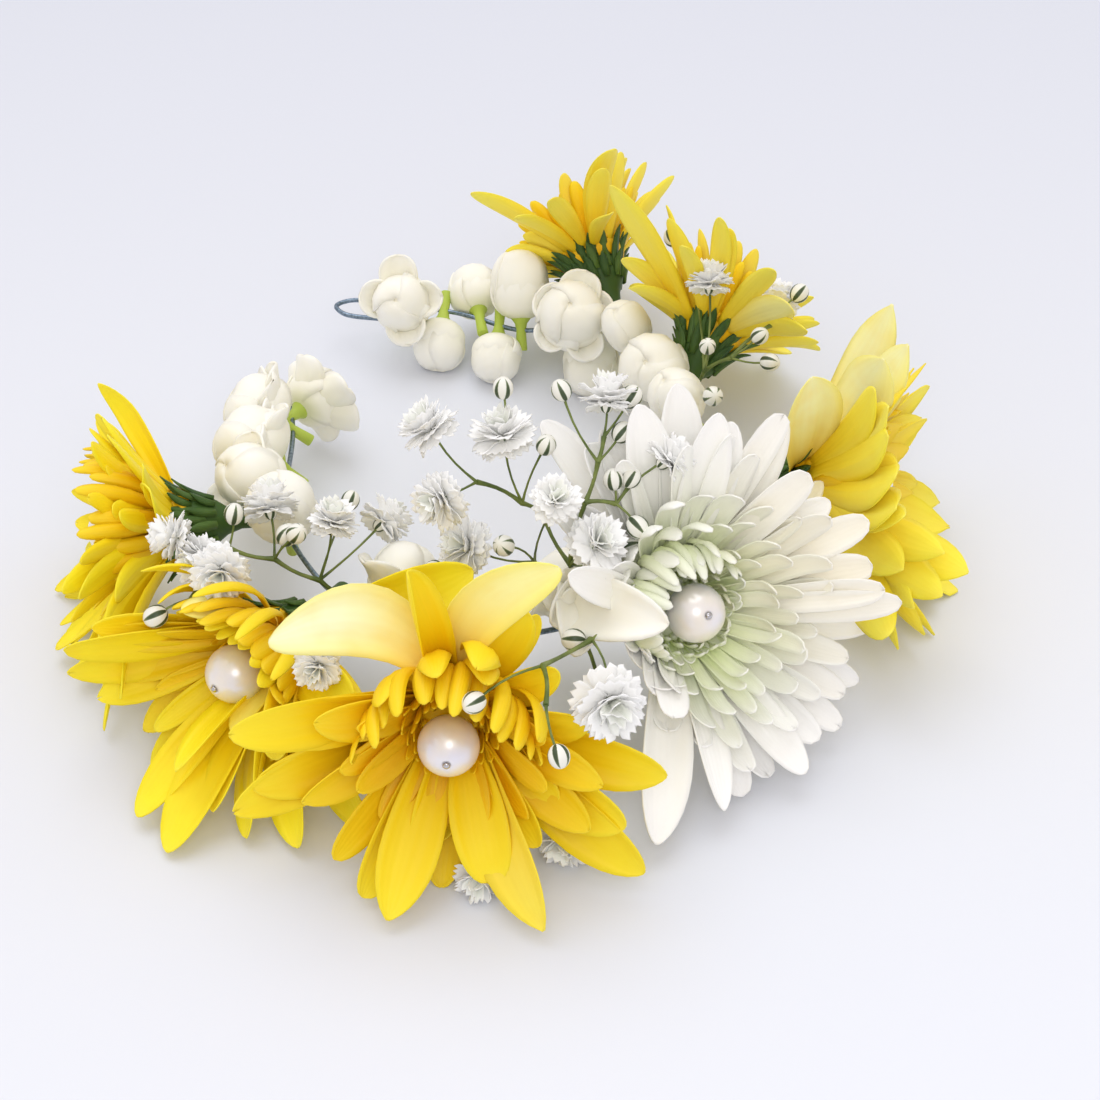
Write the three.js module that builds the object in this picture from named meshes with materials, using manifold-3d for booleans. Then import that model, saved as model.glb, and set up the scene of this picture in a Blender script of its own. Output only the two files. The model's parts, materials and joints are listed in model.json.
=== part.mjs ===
// A wrist corsage of fresh flowers: one steel wire bent into an open ring, with jasmine buds, seven
// chrysanthemum heads and sprigs of baby's breath threaded on it or tucked between them.
// Millimetres, +Z up. It lies on the plane z = 0 with its opening at the back left (-X, +Y).
import * as THREE from "three";
import { mergeVertices } from "three/addons/utils/BufferGeometryUtils.js";
import Module from "manifold-3d";

const wasm = await Module();
wasm.setup();

// The ring that the wire follows. The ring's centre stands off the middle of the whole garland.
const ring_radius = 34;
const ring_centre_x = -2.9;
const ring_centre_y = 5.95;
const wire_height = 16;
const wire_diameter = 0.8;
const wire_clearance = 0.3;
const flex_gap = 0.3;
const hook_gap = 4;
const hook_return = 8;
const table_height = 0;

// The chrysanthemum heads.
const stem_diameter = 3.2;
const stem_end = 1.8;
const calyx_depth = 6;
const calyx_diameter = 9;
const hub_depth = 2.2;
const hub_diameter = 8.4;
const disc_diameter = 7.4;
const disc_depth = 3;
const floret_length = 25.5;
const floret_width = 7.6;
const floret_thickness = 1.1;
const seat_clearance = 0.3;
const neighbour_clearance = 1.6;
const table_press = 2;

// The pearls and the pins that hold them.
const pearl_diameter = 8;
const pin_diameter = 0.8;
const pin_head_diameter = 1.9;
const pin_head_depth = 0.5;
const pin_depth = 7.5;
const pin_clearance = 0.3;

// The jasmine buds.
const bud_width = 9;
const bud_length = 10;
const stalk_diameter = 2.6;
const stalk_length = 2.6;
const neck_length = 1.9;
const bud_petal_length = 6;
const bud_petal_width = 5;
const bud_petal_thickness = 0.9;

// The baby's breath.
const sprig_height = 40;
const sprig_stem_diameter = 0.9;
const bloom_diameter = 9;
const bloom_depth = 6.5;
const sprig_bud_diameter = 3.6;

// Places along the wire, from its plain end to its hook: across and back as shares of the ring's
// radius, from the ring's centre, and up as a share of the wire's height.
const route_shares = [
  [-0.94, 0.47, 0.56],
  [-0.91, 0.235, 0.63],
  [-0.9, -0.03, 0.72],
  [-0.9, -0.29, 0.86],
  [-0.89, -0.515, 0.98],
  [-0.61, -0.97, 0.875],
  [-0.091, -1.28, 1.02],
  [0.603, -0.897, 0.69],
  [0.97, -0.253, 0.975],
  [0.96, 0.147, 0.75],
  [0.859, 0.512, 0.6],
  [0.629, 1.012, 0.62],
  [0.38, 1.144, 0.5],
  [0.118, 1.156, 0.44],
  [-0.165, 1.288, 0.44],
  [-0.485, 1.368, 0.44],
  [-0.729, 1.418, 0.42],
];

// Where the wire flexes, as shares of the places along it.
const plain_flex_share = 0.1737;
const hook_flex_share = 0.6605;

// Each head: the place on the wire where its stem is threaded, the way that it faces, the length
// of its stem as a share of the calyx, its size, how far it has opened, and how hard it pushes.
const heads = [
  { name: "mum_1", at: 4, faces: [192, 3],
    stem_share: 1.25, size_share: 0.98, open_share: 0.76, push_share: 1 },
  { name: "mum_2", at: 5, faces: [233, 4],
    stem_share: 0.85, size_share: 1.04, open_share: 0.82, push_share: 0.92 },
  { name: "mum_3", at: 6, faces: [268, 8],
    stem_share: 1.25, size_share: 1.1, open_share: 0.9, push_share: 1.15 },
  { name: "mum_4", at: 7, faces: [297, 35],
    stem_share: 0.9, size_share: 1.1, open_share: 1.02, push_share: 1.05 },
  { name: "mum_5", at: 8, faces: [346, 6],
    stem_share: 1.15, size_share: 1.12, open_share: 0.83, push_share: 1 },
  { name: "mum_6", at: 10, faces: [62, 24],
    stem_share: 0.85, size_share: 0.92, open_share: 0.66, push_share: 1 },
  { name: "mum_7", at: 11, faces: [112, 22],
    stem_share: 1.3, size_share: 0.92, open_share: 0.66, push_share: 1 },
];
const white_head = "mum_4";

// The whorls of a head, from the back: how many florets, their length and width as shares of the
// longest, the angles from the head's axis at which they leave and end, the angle at which they
// stand when they are pressed together, and where they start on the hub.
const whorls = [
  { count: 12, steps: 4, length_share: 1, width_share: 1,
    leaves: 58, ends: 96, upright: 36, out_share: 0.9, up_share: 0.25 },
  { count: 10, steps: 3, length_share: 0.86, width_share: 0.9,
    leaves: 47, ends: 80, upright: 30, out_share: 0.88, up_share: 0.6 },
  { count: 8, steps: 3, length_share: 0.52, width_share: 0.6,
    leaves: 37, ends: 60, upright: 24, out_share: 0.68, up_share: 1.75 },
];
const pressed_curl = 2;

// Each bud: the place on the wire where its stalk is threaded, the way that it points, its width
// and length as shares of a bud's, and how many of its petals have opened.
const buds = [
  { name: "jasmine_left_1", at: 0.84, points: [172, 34], width_share: 1.05, length_share: 0.9, petals: 5 },
  { name: "jasmine_left_2", at: 0.33, points: [55, 0], width_share: 0.89, length_share: 0.85, petals: 5 },
  { name: "jasmine_left_3", at: 2.26, points: [160, 35], width_share: 1.11, length_share: 1, petals: 4 },
  { name: "jasmine_left_4", at: 2.98, points: [212, 45], width_share: 1, length_share: 1, petals: 0 },
  { name: "jasmine_left_5", at: 4.3, points: [240, 80], width_share: 1.03, length_share: 0.95, petals: 0 },
  { name: "jasmine_middle_1", at: 5.45, points: [62, 42], width_share: 0.93, length_share: 0.95, petals: 0 },
  { name: "jasmine_middle_2", at: 6.75, points: [140, 35], width_share: 0.93, length_share: 0.9, petals: 0 },
  { name: "jasmine_right_1", at: 9.45, points: [200, 60], width_share: 0.89, length_share: 0.9, petals: 0 },
  { name: "jasmine_right_2", at: 10.35, points: [250, 45], width_share: 1.11, length_share: 1.1, petals: 0 },
  { name: "jasmine_right_3", at: 10.72, points: [210, 60], width_share: 0.78, length_share: 0.9, petals: 0 },
  { name: "jasmine_right_4", at: 11.6, points: [260, -47], width_share: 0.93, length_share: 0.96, petals: 0 },
  { name: "jasmine_right_5", at: 12, points: [265, 52], width_share: 1.04, length_share: 1.14, petals: 5 },
  { name: "jasmine_right_6", at: 13.37, points: [265, -32], width_share: 0.84, length_share: 0.8, petals: 0 },
  { name: "jasmine_right_7", at: 12.98, points: [92, 50], width_share: 1, length_share: 1.15, petals: 0 },
  { name: "jasmine_right_8", at: 13.71, points: [100, 12], width_share: 0.89, length_share: 0.9, petals: 0 },
  { name: "jasmine_right_9", at: 14.3, points: [262, -32], width_share: 0.89, length_share: 0.86, petals: 0 },
  { name: "jasmine_right_10", at: 14.85, points: [260, 40], width_share: 0.89, length_share: 0.9, petals: 0 },
];

// Each sprig: the place on the wire that its cut end stands beside, its offset from there as
// shares of the stem's diameter, and its tree. A twig names the twig that it grows from, its
// kind, and its place across, back and up as shares of the sprig's height.
const sprigs = [
  {
    name: "babys_breath_middle",
    at: 6.6,
    beside_shares: [0, 0.6, 1.6],
    twig_shares: [
      ["fork", -1, 0.04, 0.1, 0.18],
      ["fork", 0, 0.08, 0.12, 0.39],
      ["fork", 1, 0.12, 0.15, 0.58],
      ["fork", 2, 0.13, 0.16, 0.68],
      ["bloom", 3, 0.15, 0.17, 0.8],
      ["bud", 3, 0.24, 0.12, 0.86],
      ["bud", 2, 0.22, 0.08, 0.73],
      ["bud", 2, -0.02, 0.12, 0.89],
      ["fork", 1, 0.17, 0.18, 0.43],
      ["bloom", 8, 0.35, 0.26, 0.55],
      ["bud", 8, 0.16, 0.04, 0.55],
      ["bud", 8, 0.26, 0.17, 0.49],
      ["bud", 8, 0.22, 0.12, 0.34],
      ["fork", 0, -0.09, 0.07, 0.39],
      ["fork", 13, -0.16, 0.07, 0.44],
      ["bloom", 14, -0.22, 0.12, 0.69],
      ["bud", 14, -0.08, 0.06, 0.7],
      ["bud", 15, -0.22, 0.17, 0.85],
      ["fork", 14, -0.31, 0.05, 0.55],
      ["bloom", 18, -0.46, 0.12, 0.72],
      ["bloom", 18, -0.42, -0.06, 0.57],
      ["fork", -1, -0.12, 0.04, 0.2],
      ["bloom", 21, -0.05, -0.02, 0.52],
      ["bloom", 21, -0.34, -0.04, 0.34],
      ["bud", 21, -0.22, -0.1, 0.4],
      ["bloom", 0, 0.08, -0.05, 0.36],
      ["bud", 0, 0.2, 0.05, 0.26],
    ],
  },
  {
    name: "babys_breath_left",
    at: 5.25,
    beside_shares: [0, 0.35, 0.95],
    twig_shares: [
      ["fork", -1, -0.14, -0.02, 0.13],
      ["fork", 0, -0.29, 0, 0.21],
      ["fork", 1, -0.44, 0, 0.26],
      ["bloom", 2, -0.62, 0.02, 0.29],
      ["bud", 2, -0.42, 0.06, 0.36],
      ["bloom", 1, -0.31, 0.14, 0.32],
      ["bud", 1, -0.2, -0.04, 0.36],
      ["bloom", 0, -0.09, 0.06, 0.32],
      ["bud", 0, -0.04, 0.2, 0.3],
    ],
  },
  {
    name: "babys_breath_right",
    at: 9.85,
    beside_shares: [0.55, 0, 0.85],
    twig_shares: [
      ["fork", -1, 0.06, -0.02, 0.16],
      ["bloom", 0, 0.08, 0.2, 0.42],
      ["fork", 0, 0.16, -0.04, 0.24],
      ["bud", 0, 0.06, -0.1, 0.34],
      ["bud", 2, 0.26, -0.06, 0.36],
      ["bud", 2, 0.3, -0.12, 0.28],
    ],
  },
];

const white = { color: 0xfbf9f4, roughness: 0.55, metalness: 0 };
const yellow = { color: 0xf7cc14, roughness: 0.55, metalness: 0 };
const cream = { color: 0xf4eed8, roughness: 0.5, metalness: 0 };
const green = { color: 0x3d5c2a, roughness: 0.7, metalness: 0 };
const pale_green = { color: 0xc9d98a, roughness: 0.6, metalness: 0 };
const pearl = { color: 0xf3eff2, roughness: 0.2, metalness: 0.1 };
const steel = { color: 0x8b9aa3, roughness: 0.35, metalness: 1 };

const turn = 2 * Math.PI;
const up = new THREE.Vector3(0, 0, 1);
const garland = new THREE.Group();

function radians(degrees) {
  return THREE.MathUtils.degToRad(degrees);
}

function direction([azimuth, elevation]) {
  const level = Math.cos(radians(elevation));
  return new THREE.Vector3(
    level * Math.cos(radians(azimuth)),
    level * Math.sin(radians(azimuth)),
    Math.sin(radians(elevation)),
  );
}

// A repeatable number from -1 to 1, so that no two florets are quite alike.
function vary(a, b) {
  const wave = Math.sin(12.9898 * a + 78.233 * b) * 43758.5453;
  return 2 * (wave - Math.floor(wave)) - 1;
}

function solid(geometry) {
  const bare = geometry.index ? geometry.clone() : geometry;
  bare.deleteAttribute("normal");
  bare.deleteAttribute("uv");
  const merged = mergeVertices(bare, 1e-4);
  return new wasm.Manifold(
    new wasm.Mesh({
      numProp: 3,
      vertProperties: merged.attributes.position.array,
      triVerts: new Uint32Array(merged.index.array),
    }),
  );
}

function add_node(parent, name, made, finish) {
  const { vertProperties, triVerts } = made.getMesh();
  const geometry = new THREE.BufferGeometry();
  geometry.setAttribute("position", new THREE.BufferAttribute(vertProperties, 3));
  geometry.setIndex(new THREE.BufferAttribute(triVerts, 1));
  geometry.computeVertexNormals();
  const mesh = new THREE.Mesh(geometry, new THREE.MeshStandardMaterial(finish));
  mesh.name = name;
  parent.add(mesh);
}

// The turn that brings a shape's Y axis round to a direction.
function turn_towards(pointing) {
  return new THREE.Quaternion().setFromUnitVectors(new THREE.Vector3(0, 1, 0), pointing);
}

// A round bar from one point to another.
function bar(from, to, radius, sides) {
  const line = new THREE.Vector3().subVectors(to, from);
  const geometry = new THREE.CylinderGeometry(radius, radius, line.length(), sides);
  geometry.applyQuaternion(turn_towards(line.normalize()));
  const middle = new THREE.Vector3().addVectors(from, to).multiplyScalar(0.5);
  return solid(geometry.translate(middle.x, middle.y, middle.z));
}

// A shape turned about the Z axis from an outline of [radius, height] points that closes on itself.
function turned(outline, sides) {
  const points = outline.map(([radius, height]) => new THREE.Vector2(radius, height));
  return solid(new THREE.LatheGeometry(points, sides).rotateX(turn / 4));
}

// An egg shape along the Z axis, standing on the origin.
function egg(width, length, sides, rings) {
  const ball = new THREE.SphereGeometry(1, sides, rings);
  ball.rotateX(turn / 4).scale(width / 2, width / 2, length / 2);
  return solid(ball.translate(0, 0, length / 2));
}

// The wire's whole route, with the hairpin that its far end is bent into.
function wire_route() {
  const places = route_shares.map(([across, back, high]) => {
    const x = ring_centre_x + across * ring_radius;
    const y = ring_centre_y + back * ring_radius;
    return new THREE.Vector3(x, y, high * wire_height);
  });
  const tip = places.at(-1);
  const along = new THREE.Vector3().subVectors(tip, places.at(-2)).setZ(0).normalize();
  const aside = new THREE.Vector3(-along.y, along.x, 0);
  const bend = tip.clone().addScaledVector(along, hook_gap / 2).addScaledVector(aside, hook_gap / 2);
  const back = tip.clone().addScaledVector(aside, hook_gap);
  const end = back.clone().addScaledVector(along, -hook_return);
  return new THREE.CatmullRomCurve3([...places, bend, back, end]);
}

const route = wire_route();
const last_place = route.points.length - 1;

// A place on the wire's line, which runs straight on past both of the wire's ends.
function wire_point(at) {
  const inside_share = THREE.MathUtils.clamp(at / last_place, 0, 1);
  const past = (at - inside_share * last_place) * (route.getLength() / last_place);
  return route.getPoint(inside_share).addScaledVector(route.getTangent(inside_share), past);
}

// The place that lies a short length further along the wire.
function further(at, length) {
  const nearby_share = 0.01;
  const step = wire_point(at + nearby_share).distanceTo(wire_point(at)) / nearby_share;
  return at + length / step;
}

class Stretch extends THREE.Curve {
  constructor(from, to) {
    super();
    this.from = from;
    this.to = to;
  }
  getPoint(share) {
    return wire_point(THREE.MathUtils.lerp(this.from, this.to, share));
  }
}

function round_section(radius) {
  const sides = 6;
  const section = new THREE.Shape();
  for (let side = 0; side < sides; side++) {
    const angle = (turn * side) / sides;
    if (side === 0) section.moveTo(radius, 0);
    else section.lineTo(radius * Math.cos(angle), radius * Math.sin(angle));
  }
  section.closePath();
  return section;
}

function wire_piece(from, to, steps) {
  const settings = { extrudePath: new Stretch(from, to), steps };
  return solid(new THREE.ExtrudeGeometry(round_section(wire_diameter / 2), settings));
}

function add_wires() {
  const cut_at = (place) => [further(place, -flex_gap / 2), further(place, flex_gap / 2)];
  const plain_cut = cut_at(plain_flex_share * last_place);
  const hook_cut = cut_at(hook_flex_share * last_place);
  add_node(garland, "tail_wire", wire_piece(0, plain_cut[0], 8), steel);
  add_node(garland, "base_wire", wire_piece(plain_cut[1], hook_cut[0], 32), steel);
  add_node(garland, "hook_wire", wire_piece(hook_cut[1], last_place, 26), steel);
}

// A group whose Z axis points along a direction, with its origin at a point.
function frame_at(point, pointing) {
  const side = new THREE.Vector3().crossVectors(up, pointing).normalize();
  const top = new THREE.Vector3().crossVectors(pointing, side);
  const group = new THREE.Group();
  group.quaternion.setFromRotationMatrix(new THREE.Matrix4().makeBasis(side, top, pointing));
  group.position.copy(point);
  group.updateMatrixWorld(true);
  garland.add(group);
  return group;
}

// The hole that the wire passes through, in the frame of a piece threaded on it.
function wire_hole(group, at, length) {
  const stretch = new Stretch(further(at, -length), further(at, length));
  const settings = { extrudePath: stretch, steps: 2 };
  const hole = new THREE.ExtrudeGeometry(round_section(wire_diameter / 2 + wire_clearance), settings);
  return solid(hole.applyMatrix4(group.matrixWorld.clone().invert()));
}

// All that lies under the table's top near a group, in that group's frame.
function below_table(group, reach) {
  const floor = new THREE.BoxGeometry(2 * reach, 2 * reach, reach);
  floor.translate(group.position.x, group.position.y, table_height - reach / 2);
  return solid(floor.applyMatrix4(group.matrixWorld.clone().invert()));
}

function head_centre(head) {
  const reach = calyx_depth * (1 + head.stem_share);
  return wire_point(head.at).addScaledVector(direction(head.faces), reach);
}

function floret_middle(head) {
  const middle_share = 0.25;
  return head_centre(head).addScaledVector(direction(head.faces), floret_length * middle_share);
}

// The planes that a head's florets stay behind: the table, and one to each head beside it.
function limits(head) {
  const table = new THREE.Vector3(0, 0, table_height);
  const planes = [{ point: table, normal: new THREE.Vector3(0, 0, -1), margin: -table_press }];
  const beside_share = 2.2;
  const own = floret_middle(head);
  for (const other of heads) {
    const middle = floret_middle(other);
    const distance = own.distanceTo(middle);
    if (other === head || distance > beside_share * floret_length) continue;
    const share = head.push_share / (head.push_share + other.push_share);
    planes.push({
      point: own.clone().lerp(middle, share),
      normal: middle.clone().sub(own).normalize(),
      margin: neighbour_clearance,
    });
  }
  return planes;
}

// Whether a point in a group's frame lies behind every plane.
function behind(planes, group, place, more) {
  const at = place.clone().applyMatrix4(group.matrixWorld);
  return planes.every(({ point, normal, margin }) => at.clone().sub(point).dot(normal) < -margin - more);
}

// A floret's middle line in the head's frame: an arc that bends away from the axis.
function floret_point(whorl, head, angle, press, share) {
  const start = radians(THREE.MathUtils.lerp(whorl.upright, whorl.leaves * head.open_share, press));
  const pressed_end = whorl.upright + pressed_curl;
  const end = radians(THREE.MathUtils.lerp(pressed_end, whorl.ends * head.open_share, press));
  const length = floret_length * whorl.length_share * head.size_share;
  const bend = Math.max(end - start, 1e-3);
  const now = start + bend * share;
  const out = (hub_diameter / 2) * whorl.out_share + (length / bend) * (Math.cos(start) - Math.cos(now));
  const forward = hub_depth * whorl.up_share + (length / bend) * (Math.sin(now) - Math.sin(start));
  return {
    place: new THREE.Vector3(out * Math.cos(angle), out * Math.sin(angle), forward),
    lean: now,
  };
}

// How far the florets stand open around the head, from 0 to 1 at each of a ring of angles. They
// are pressed together where a neighbour or the table is in the way.
function openness(group, head) {
  const planes = limits(head);
  const count = 36;
  const press_step = 0.04;
  const raw = [];
  for (let i = 0; i < count; i++) {
    const angle = (turn * i) / count;
    const clear = (press) =>
      [0.4, 0.7, 1].every((share) => {
        const { place } = floret_point(whorls[0], head, angle, press, share);
        return behind(planes, group, place, floret_thickness / 4);
      });
    let press = 1;
    while (press > 0 && !clear(press)) press -= press_step;
    raw.push(Math.max(press, 0));
  }
  const near = (i) => Math.min(...[-1, 0, 1].map((step) => raw[(i + step + count) % count]));
  return (angle) => {
    const place = ((angle / turn) * count + count) % count;
    const low = Math.floor(place);
    return THREE.MathUtils.lerp(near(low), near((low + 1) % count), place - low);
  };
}

// One floret: a ball drawn out into a long leaf shape along the floret's middle line.
function floret(whorl, head, angle, press, length_share) {
  const ball = new THREE.SphereGeometry(1, 4, whorl.steps);
  const position = ball.getAttribute("position");
  const across = new THREE.Vector3(-Math.sin(angle), Math.cos(angle), 0);
  const middle = floret_point(whorl, head, angle, press, 0.5 * length_share).place;
  const room = (0.4 * turn * Math.hypot(middle.x, middle.y)) / whorl.count;
  const half_width = Math.min((floret_width * whorl.width_share * head.size_share) / 2, room);
  for (let i = 0; i < position.count; i++) {
    const share = (1 + position.getY(i)) / 2;
    const { place, lean } = floret_point(whorl, head, angle, press, share * length_share);
    const level = Math.cos(lean);
    const outward = new THREE.Vector3(level * Math.cos(angle), level * Math.sin(angle), -Math.sin(lean));
    const narrow = THREE.MathUtils.lerp(0.3, 1.12, Math.min(1, share * 1.5));
    place.addScaledVector(across, position.getX(i) * half_width * narrow);
    place.addScaledVector(outward, (position.getZ(i) * floret_thickness) / 2);
    position.setXYZ(i, place.x, place.y, place.z);
  }
  return solid(ball);
}

// The florets of one whorl. One that would still meet its neighbour or the table is shorter.
function whorl_of_florets(group, head, whorl, order, open) {
  const shortest_share = 0.3;
  const cut_share = 0.03;
  const planes = limits(head);
  const made = [];
  for (let i = 0; i < whorl.count; i++) {
    const angle = (turn * (i + 0.5 * (order % 2) + 0.16 * vary(i, order + head.at))) / whorl.count;
    const press = open(angle);
    let length_share = 1 - 0.06 * (1 + vary(i + 7, order * head.at));
    const tip = () => floret_point(whorl, head, angle, press, length_share).place;
    while (length_share > shortest_share && !behind(planes, group, tip(), 0)) length_share -= cut_share;
    made.push(floret(whorl, head, angle, press, length_share));
  }
  return made;
}

// A head: calyx and stem, outer florets on their hub, inner florets round the disc, pearl and pin.
function add_head(head) {
  const group = frame_at(head_centre(head), direction(head.faces));
  const finish = head.name === white_head ? white : yellow;
  const open = openness(group, head);
  const bore = pin_diameter / 2 + pin_clearance;
  const stem = stem_diameter / 2;
  const to_wire = calyx_depth * (1 + head.stem_share);
  const pin_foot = hub_depth + disc_depth + 2 * seat_clearance - pin_depth;

  const cup = turned(
    [
      [0, -to_wire - stem_end],
      [stem, -to_wire - stem_end],
      [stem, -calyx_depth],
      [0.42 * calyx_diameter, -0.5 * calyx_depth],
      [calyx_diameter / 2, -seat_clearance],
      [bore, -seat_clearance],
      [bore, pin_foot - seat_clearance],
      [0, pin_foot - seat_clearance],
    ],
    8,
  );
  const hole = wire_hole(group, head.at, stem_diameter);
  add_node(group, head.name + "_calyx", cup.subtract(hole), green);

  const hub = turned(
    [
      [bore, 0],
      [hub_diameter / 2, 0],
      [hub_diameter / 2, hub_depth],
      [bore, hub_depth],
      [bore, 0],
    ],
    9,
  );
  let outer = hub;
  for (const order of [0, 1]) {
    for (const one of whorl_of_florets(group, head, whorls[order], order, open)) outer = outer.add(one);
  }
  outer = outer.subtract(below_table(group, 2 * floret_length));
  add_node(group, head.name + "_outer_florets", outer, finish);

  const disc_foot = hub_depth + seat_clearance;
  const disc = turned(
    [
      [bore, disc_foot],
      [0.44 * disc_diameter, disc_foot],
      [disc_diameter / 2, disc_foot + 0.5 * disc_depth],
      [0.36 * disc_diameter, disc_foot + disc_depth],
      [bore, disc_foot + disc_depth],
      [bore, disc_foot],
    ],
    9,
  );
  let inner = disc;
  for (const one of whorl_of_florets(group, head, whorls[2], 2, open)) inner = inner.add(one);
  add_node(group, head.name + "_inner_florets", inner, head.name === white_head ? pale_green : yellow);

  // The pearl rests on the rim of the disc, and the pin's head rests on the pearl.
  const pearl_foot = disc_foot + disc_depth + seat_clearance;
  const pearl_centre = pearl_foot + pearl_diameter / 2;
  const ball = new THREE.SphereGeometry(pearl_diameter / 2, 10, 7);
  ball.rotateX(turn / 4).translate(0, 0, pearl_centre);
  const below = new THREE.Vector3(0, 0, pearl_foot - pearl_diameter);
  const above = new THREE.Vector3(0, 0, pearl_foot + 2 * pearl_diameter);
  add_node(group, head.name.replace("mum", "pearl"), solid(ball).subtract(bar(below, above, bore, 6)), pearl);

  const head_foot = pearl_foot + pearl_diameter + 0.5 * seat_clearance;
  const pin = turned(
    [
      [0, pin_foot],
      [pin_diameter / 2, pin_foot + pin_diameter / 2],
      [pin_diameter / 2, head_foot],
      [pin_head_diameter / 2, head_foot],
      [pin_head_diameter / 2, head_foot + pin_head_depth / 2],
      [0, head_foot + pin_head_depth],
    ],
    8,
  );
  add_node(group, head.name.replace("mum", "pearl_pin"), pin, steel);
}

// A bud: an egg on a green stalk, which the wire passes through below the petals.
function add_bud(bud, order) {
  const group = frame_at(wire_point(bud.at), direction(bud.points));
  const width = bud.width_share * bud_width;
  const length = bud.length_share * bud_length;
  const stalk = stalk_diameter / 2;
  let made = egg(width, length, 8, 5).translate([0, 0, neck_length]);
  const shank = turned(
    [
      [0, -stalk_length],
      [stalk, -stalk_length],
      [stalk, 0.6 * neck_length],
      [1.3 * stalk, neck_length + 0.12 * length],
      [0, neck_length + 0.3 * length],
    ],
    6,
  );
  made = made.add(shank);
  for (let i = 0; i < bud.petals; i++) {
    const angle = (turn * (i + 0.2 * vary(i, order))) / bud.petals;
    const petal = new THREE.SphereGeometry(1, 5, 3);
    petal.scale(bud_petal_width / 2, bud_petal_length / 2, bud_petal_thickness / 2);
    petal.translate(0, bud_petal_length / 2, 0).rotateX(turn / 9).translate(0, 0.3 * width, 0);
    petal.rotateZ(angle).translate(0, 0, neck_length + 0.22 * length);
    made = made.add(solid(petal));
  }
  made = made.subtract(wire_hole(group, bud.at, stalk_diameter));
  made = made.subtract(below_table(group, 2 * bud_length));
  add_node(group, bud.name, made, cream);
}

// What a twig ends in: an open bloom, flatter than it is wide, or a small round bud.
function sprig_flower(kind, place, pointing) {
  const open = kind === "bloom";
  const width = open ? bloom_diameter : sprig_bud_diameter;
  const depth = open ? bloom_depth : sprig_bud_diameter;
  const ball = open ? new THREE.SphereGeometry(1, 6, 4) : new THREE.SphereGeometry(1, 4, 3);
  ball.scale(width / 2, depth / 2, width / 2).applyQuaternion(turn_towards(pointing));
  return solid(ball.translate(place.x, place.y, place.z));
}

// A sprig: thin green twigs that fork from one cut end, with open blooms and round buds on them.
function add_sprig(sprig) {
  const [across, back, high] = sprig.beside_shares;
  const beside = new THREE.Vector3(across, back, high).multiplyScalar(sprig_stem_diameter + wire_clearance);
  const group = new THREE.Group();
  group.position.copy(wire_point(sprig.at)).add(beside);
  garland.add(group);
  const place = (share) => new THREE.Vector3(...share).multiplyScalar(sprig_height);
  const places = sprig.twig_shares.map(([, , ...share]) => place(share));
  const radius = sprig_stem_diameter / 2;
  let made = null;
  sprig.twig_shares.forEach(([kind, parent], i) => {
    const from = parent < 0 ? new THREE.Vector3() : places[parent];
    const line = places[i].clone().sub(from).normalize();
    const past = places[i].clone().addScaledVector(line, radius);
    let twig = bar(from, past, radius, 3);
    if (kind !== "fork") twig = twig.add(sprig_flower(kind, places[i], line));
    made = made ? made.add(twig) : twig;
  });
  add_node(group, sprig.name, made, white);
}

add_wires();
heads.forEach(add_head);
buds.forEach(add_bud);
sprigs.forEach(add_sprig);

export default garland;
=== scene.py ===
import json
import random
from functools import partial
from math import asin, cos, pi, radians, remainder, sin, sqrt, tau

import bmesh
import bpy
from mathutils import Matrix, Vector
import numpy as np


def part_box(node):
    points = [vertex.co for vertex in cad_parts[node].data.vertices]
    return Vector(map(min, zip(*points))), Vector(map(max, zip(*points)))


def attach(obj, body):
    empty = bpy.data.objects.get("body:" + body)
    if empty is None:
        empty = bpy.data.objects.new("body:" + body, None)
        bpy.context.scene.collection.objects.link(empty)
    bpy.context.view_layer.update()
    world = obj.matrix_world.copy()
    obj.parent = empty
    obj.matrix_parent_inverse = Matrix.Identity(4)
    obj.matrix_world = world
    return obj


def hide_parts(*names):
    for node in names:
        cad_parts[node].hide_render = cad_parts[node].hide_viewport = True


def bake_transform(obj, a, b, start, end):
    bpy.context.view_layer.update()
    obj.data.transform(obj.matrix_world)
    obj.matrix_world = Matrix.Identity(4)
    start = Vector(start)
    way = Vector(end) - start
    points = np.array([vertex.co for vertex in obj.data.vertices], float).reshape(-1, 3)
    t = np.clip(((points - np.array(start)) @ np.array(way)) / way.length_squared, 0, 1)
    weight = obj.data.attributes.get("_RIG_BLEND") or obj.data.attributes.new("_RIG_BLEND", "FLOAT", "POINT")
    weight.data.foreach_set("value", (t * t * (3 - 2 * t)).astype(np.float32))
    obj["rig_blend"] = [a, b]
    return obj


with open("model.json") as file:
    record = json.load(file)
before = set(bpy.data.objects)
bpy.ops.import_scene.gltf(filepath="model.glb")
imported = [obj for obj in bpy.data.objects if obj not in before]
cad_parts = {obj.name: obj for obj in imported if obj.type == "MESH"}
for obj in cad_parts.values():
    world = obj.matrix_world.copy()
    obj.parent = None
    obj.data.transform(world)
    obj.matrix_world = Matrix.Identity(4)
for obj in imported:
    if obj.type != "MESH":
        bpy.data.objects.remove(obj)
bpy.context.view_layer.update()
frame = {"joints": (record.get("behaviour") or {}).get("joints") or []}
MM = 0.001

# Camera. It looks down at the corsage from the front, through a long lens.
view_angle = radians(28)
view_slope = radians(42)
view_distance = 0.3197
view_target = Vector((0.0061, -0.01505, 0.012))

view_back = Vector((0, -cos(view_slope), sin(view_slope)))
scene = bpy.context.scene


def put(name, data, turn, place=(0, 0, 0)):
    """Puts a camera or a lamp into the scene, turned and at its place."""
    made = bpy.data.objects.new(name, data)
    made.location = place
    made.rotation_mode = "QUATERNION"
    made.rotation_quaternion = turn
    scene.collection.objects.link(made)
    return made


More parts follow.
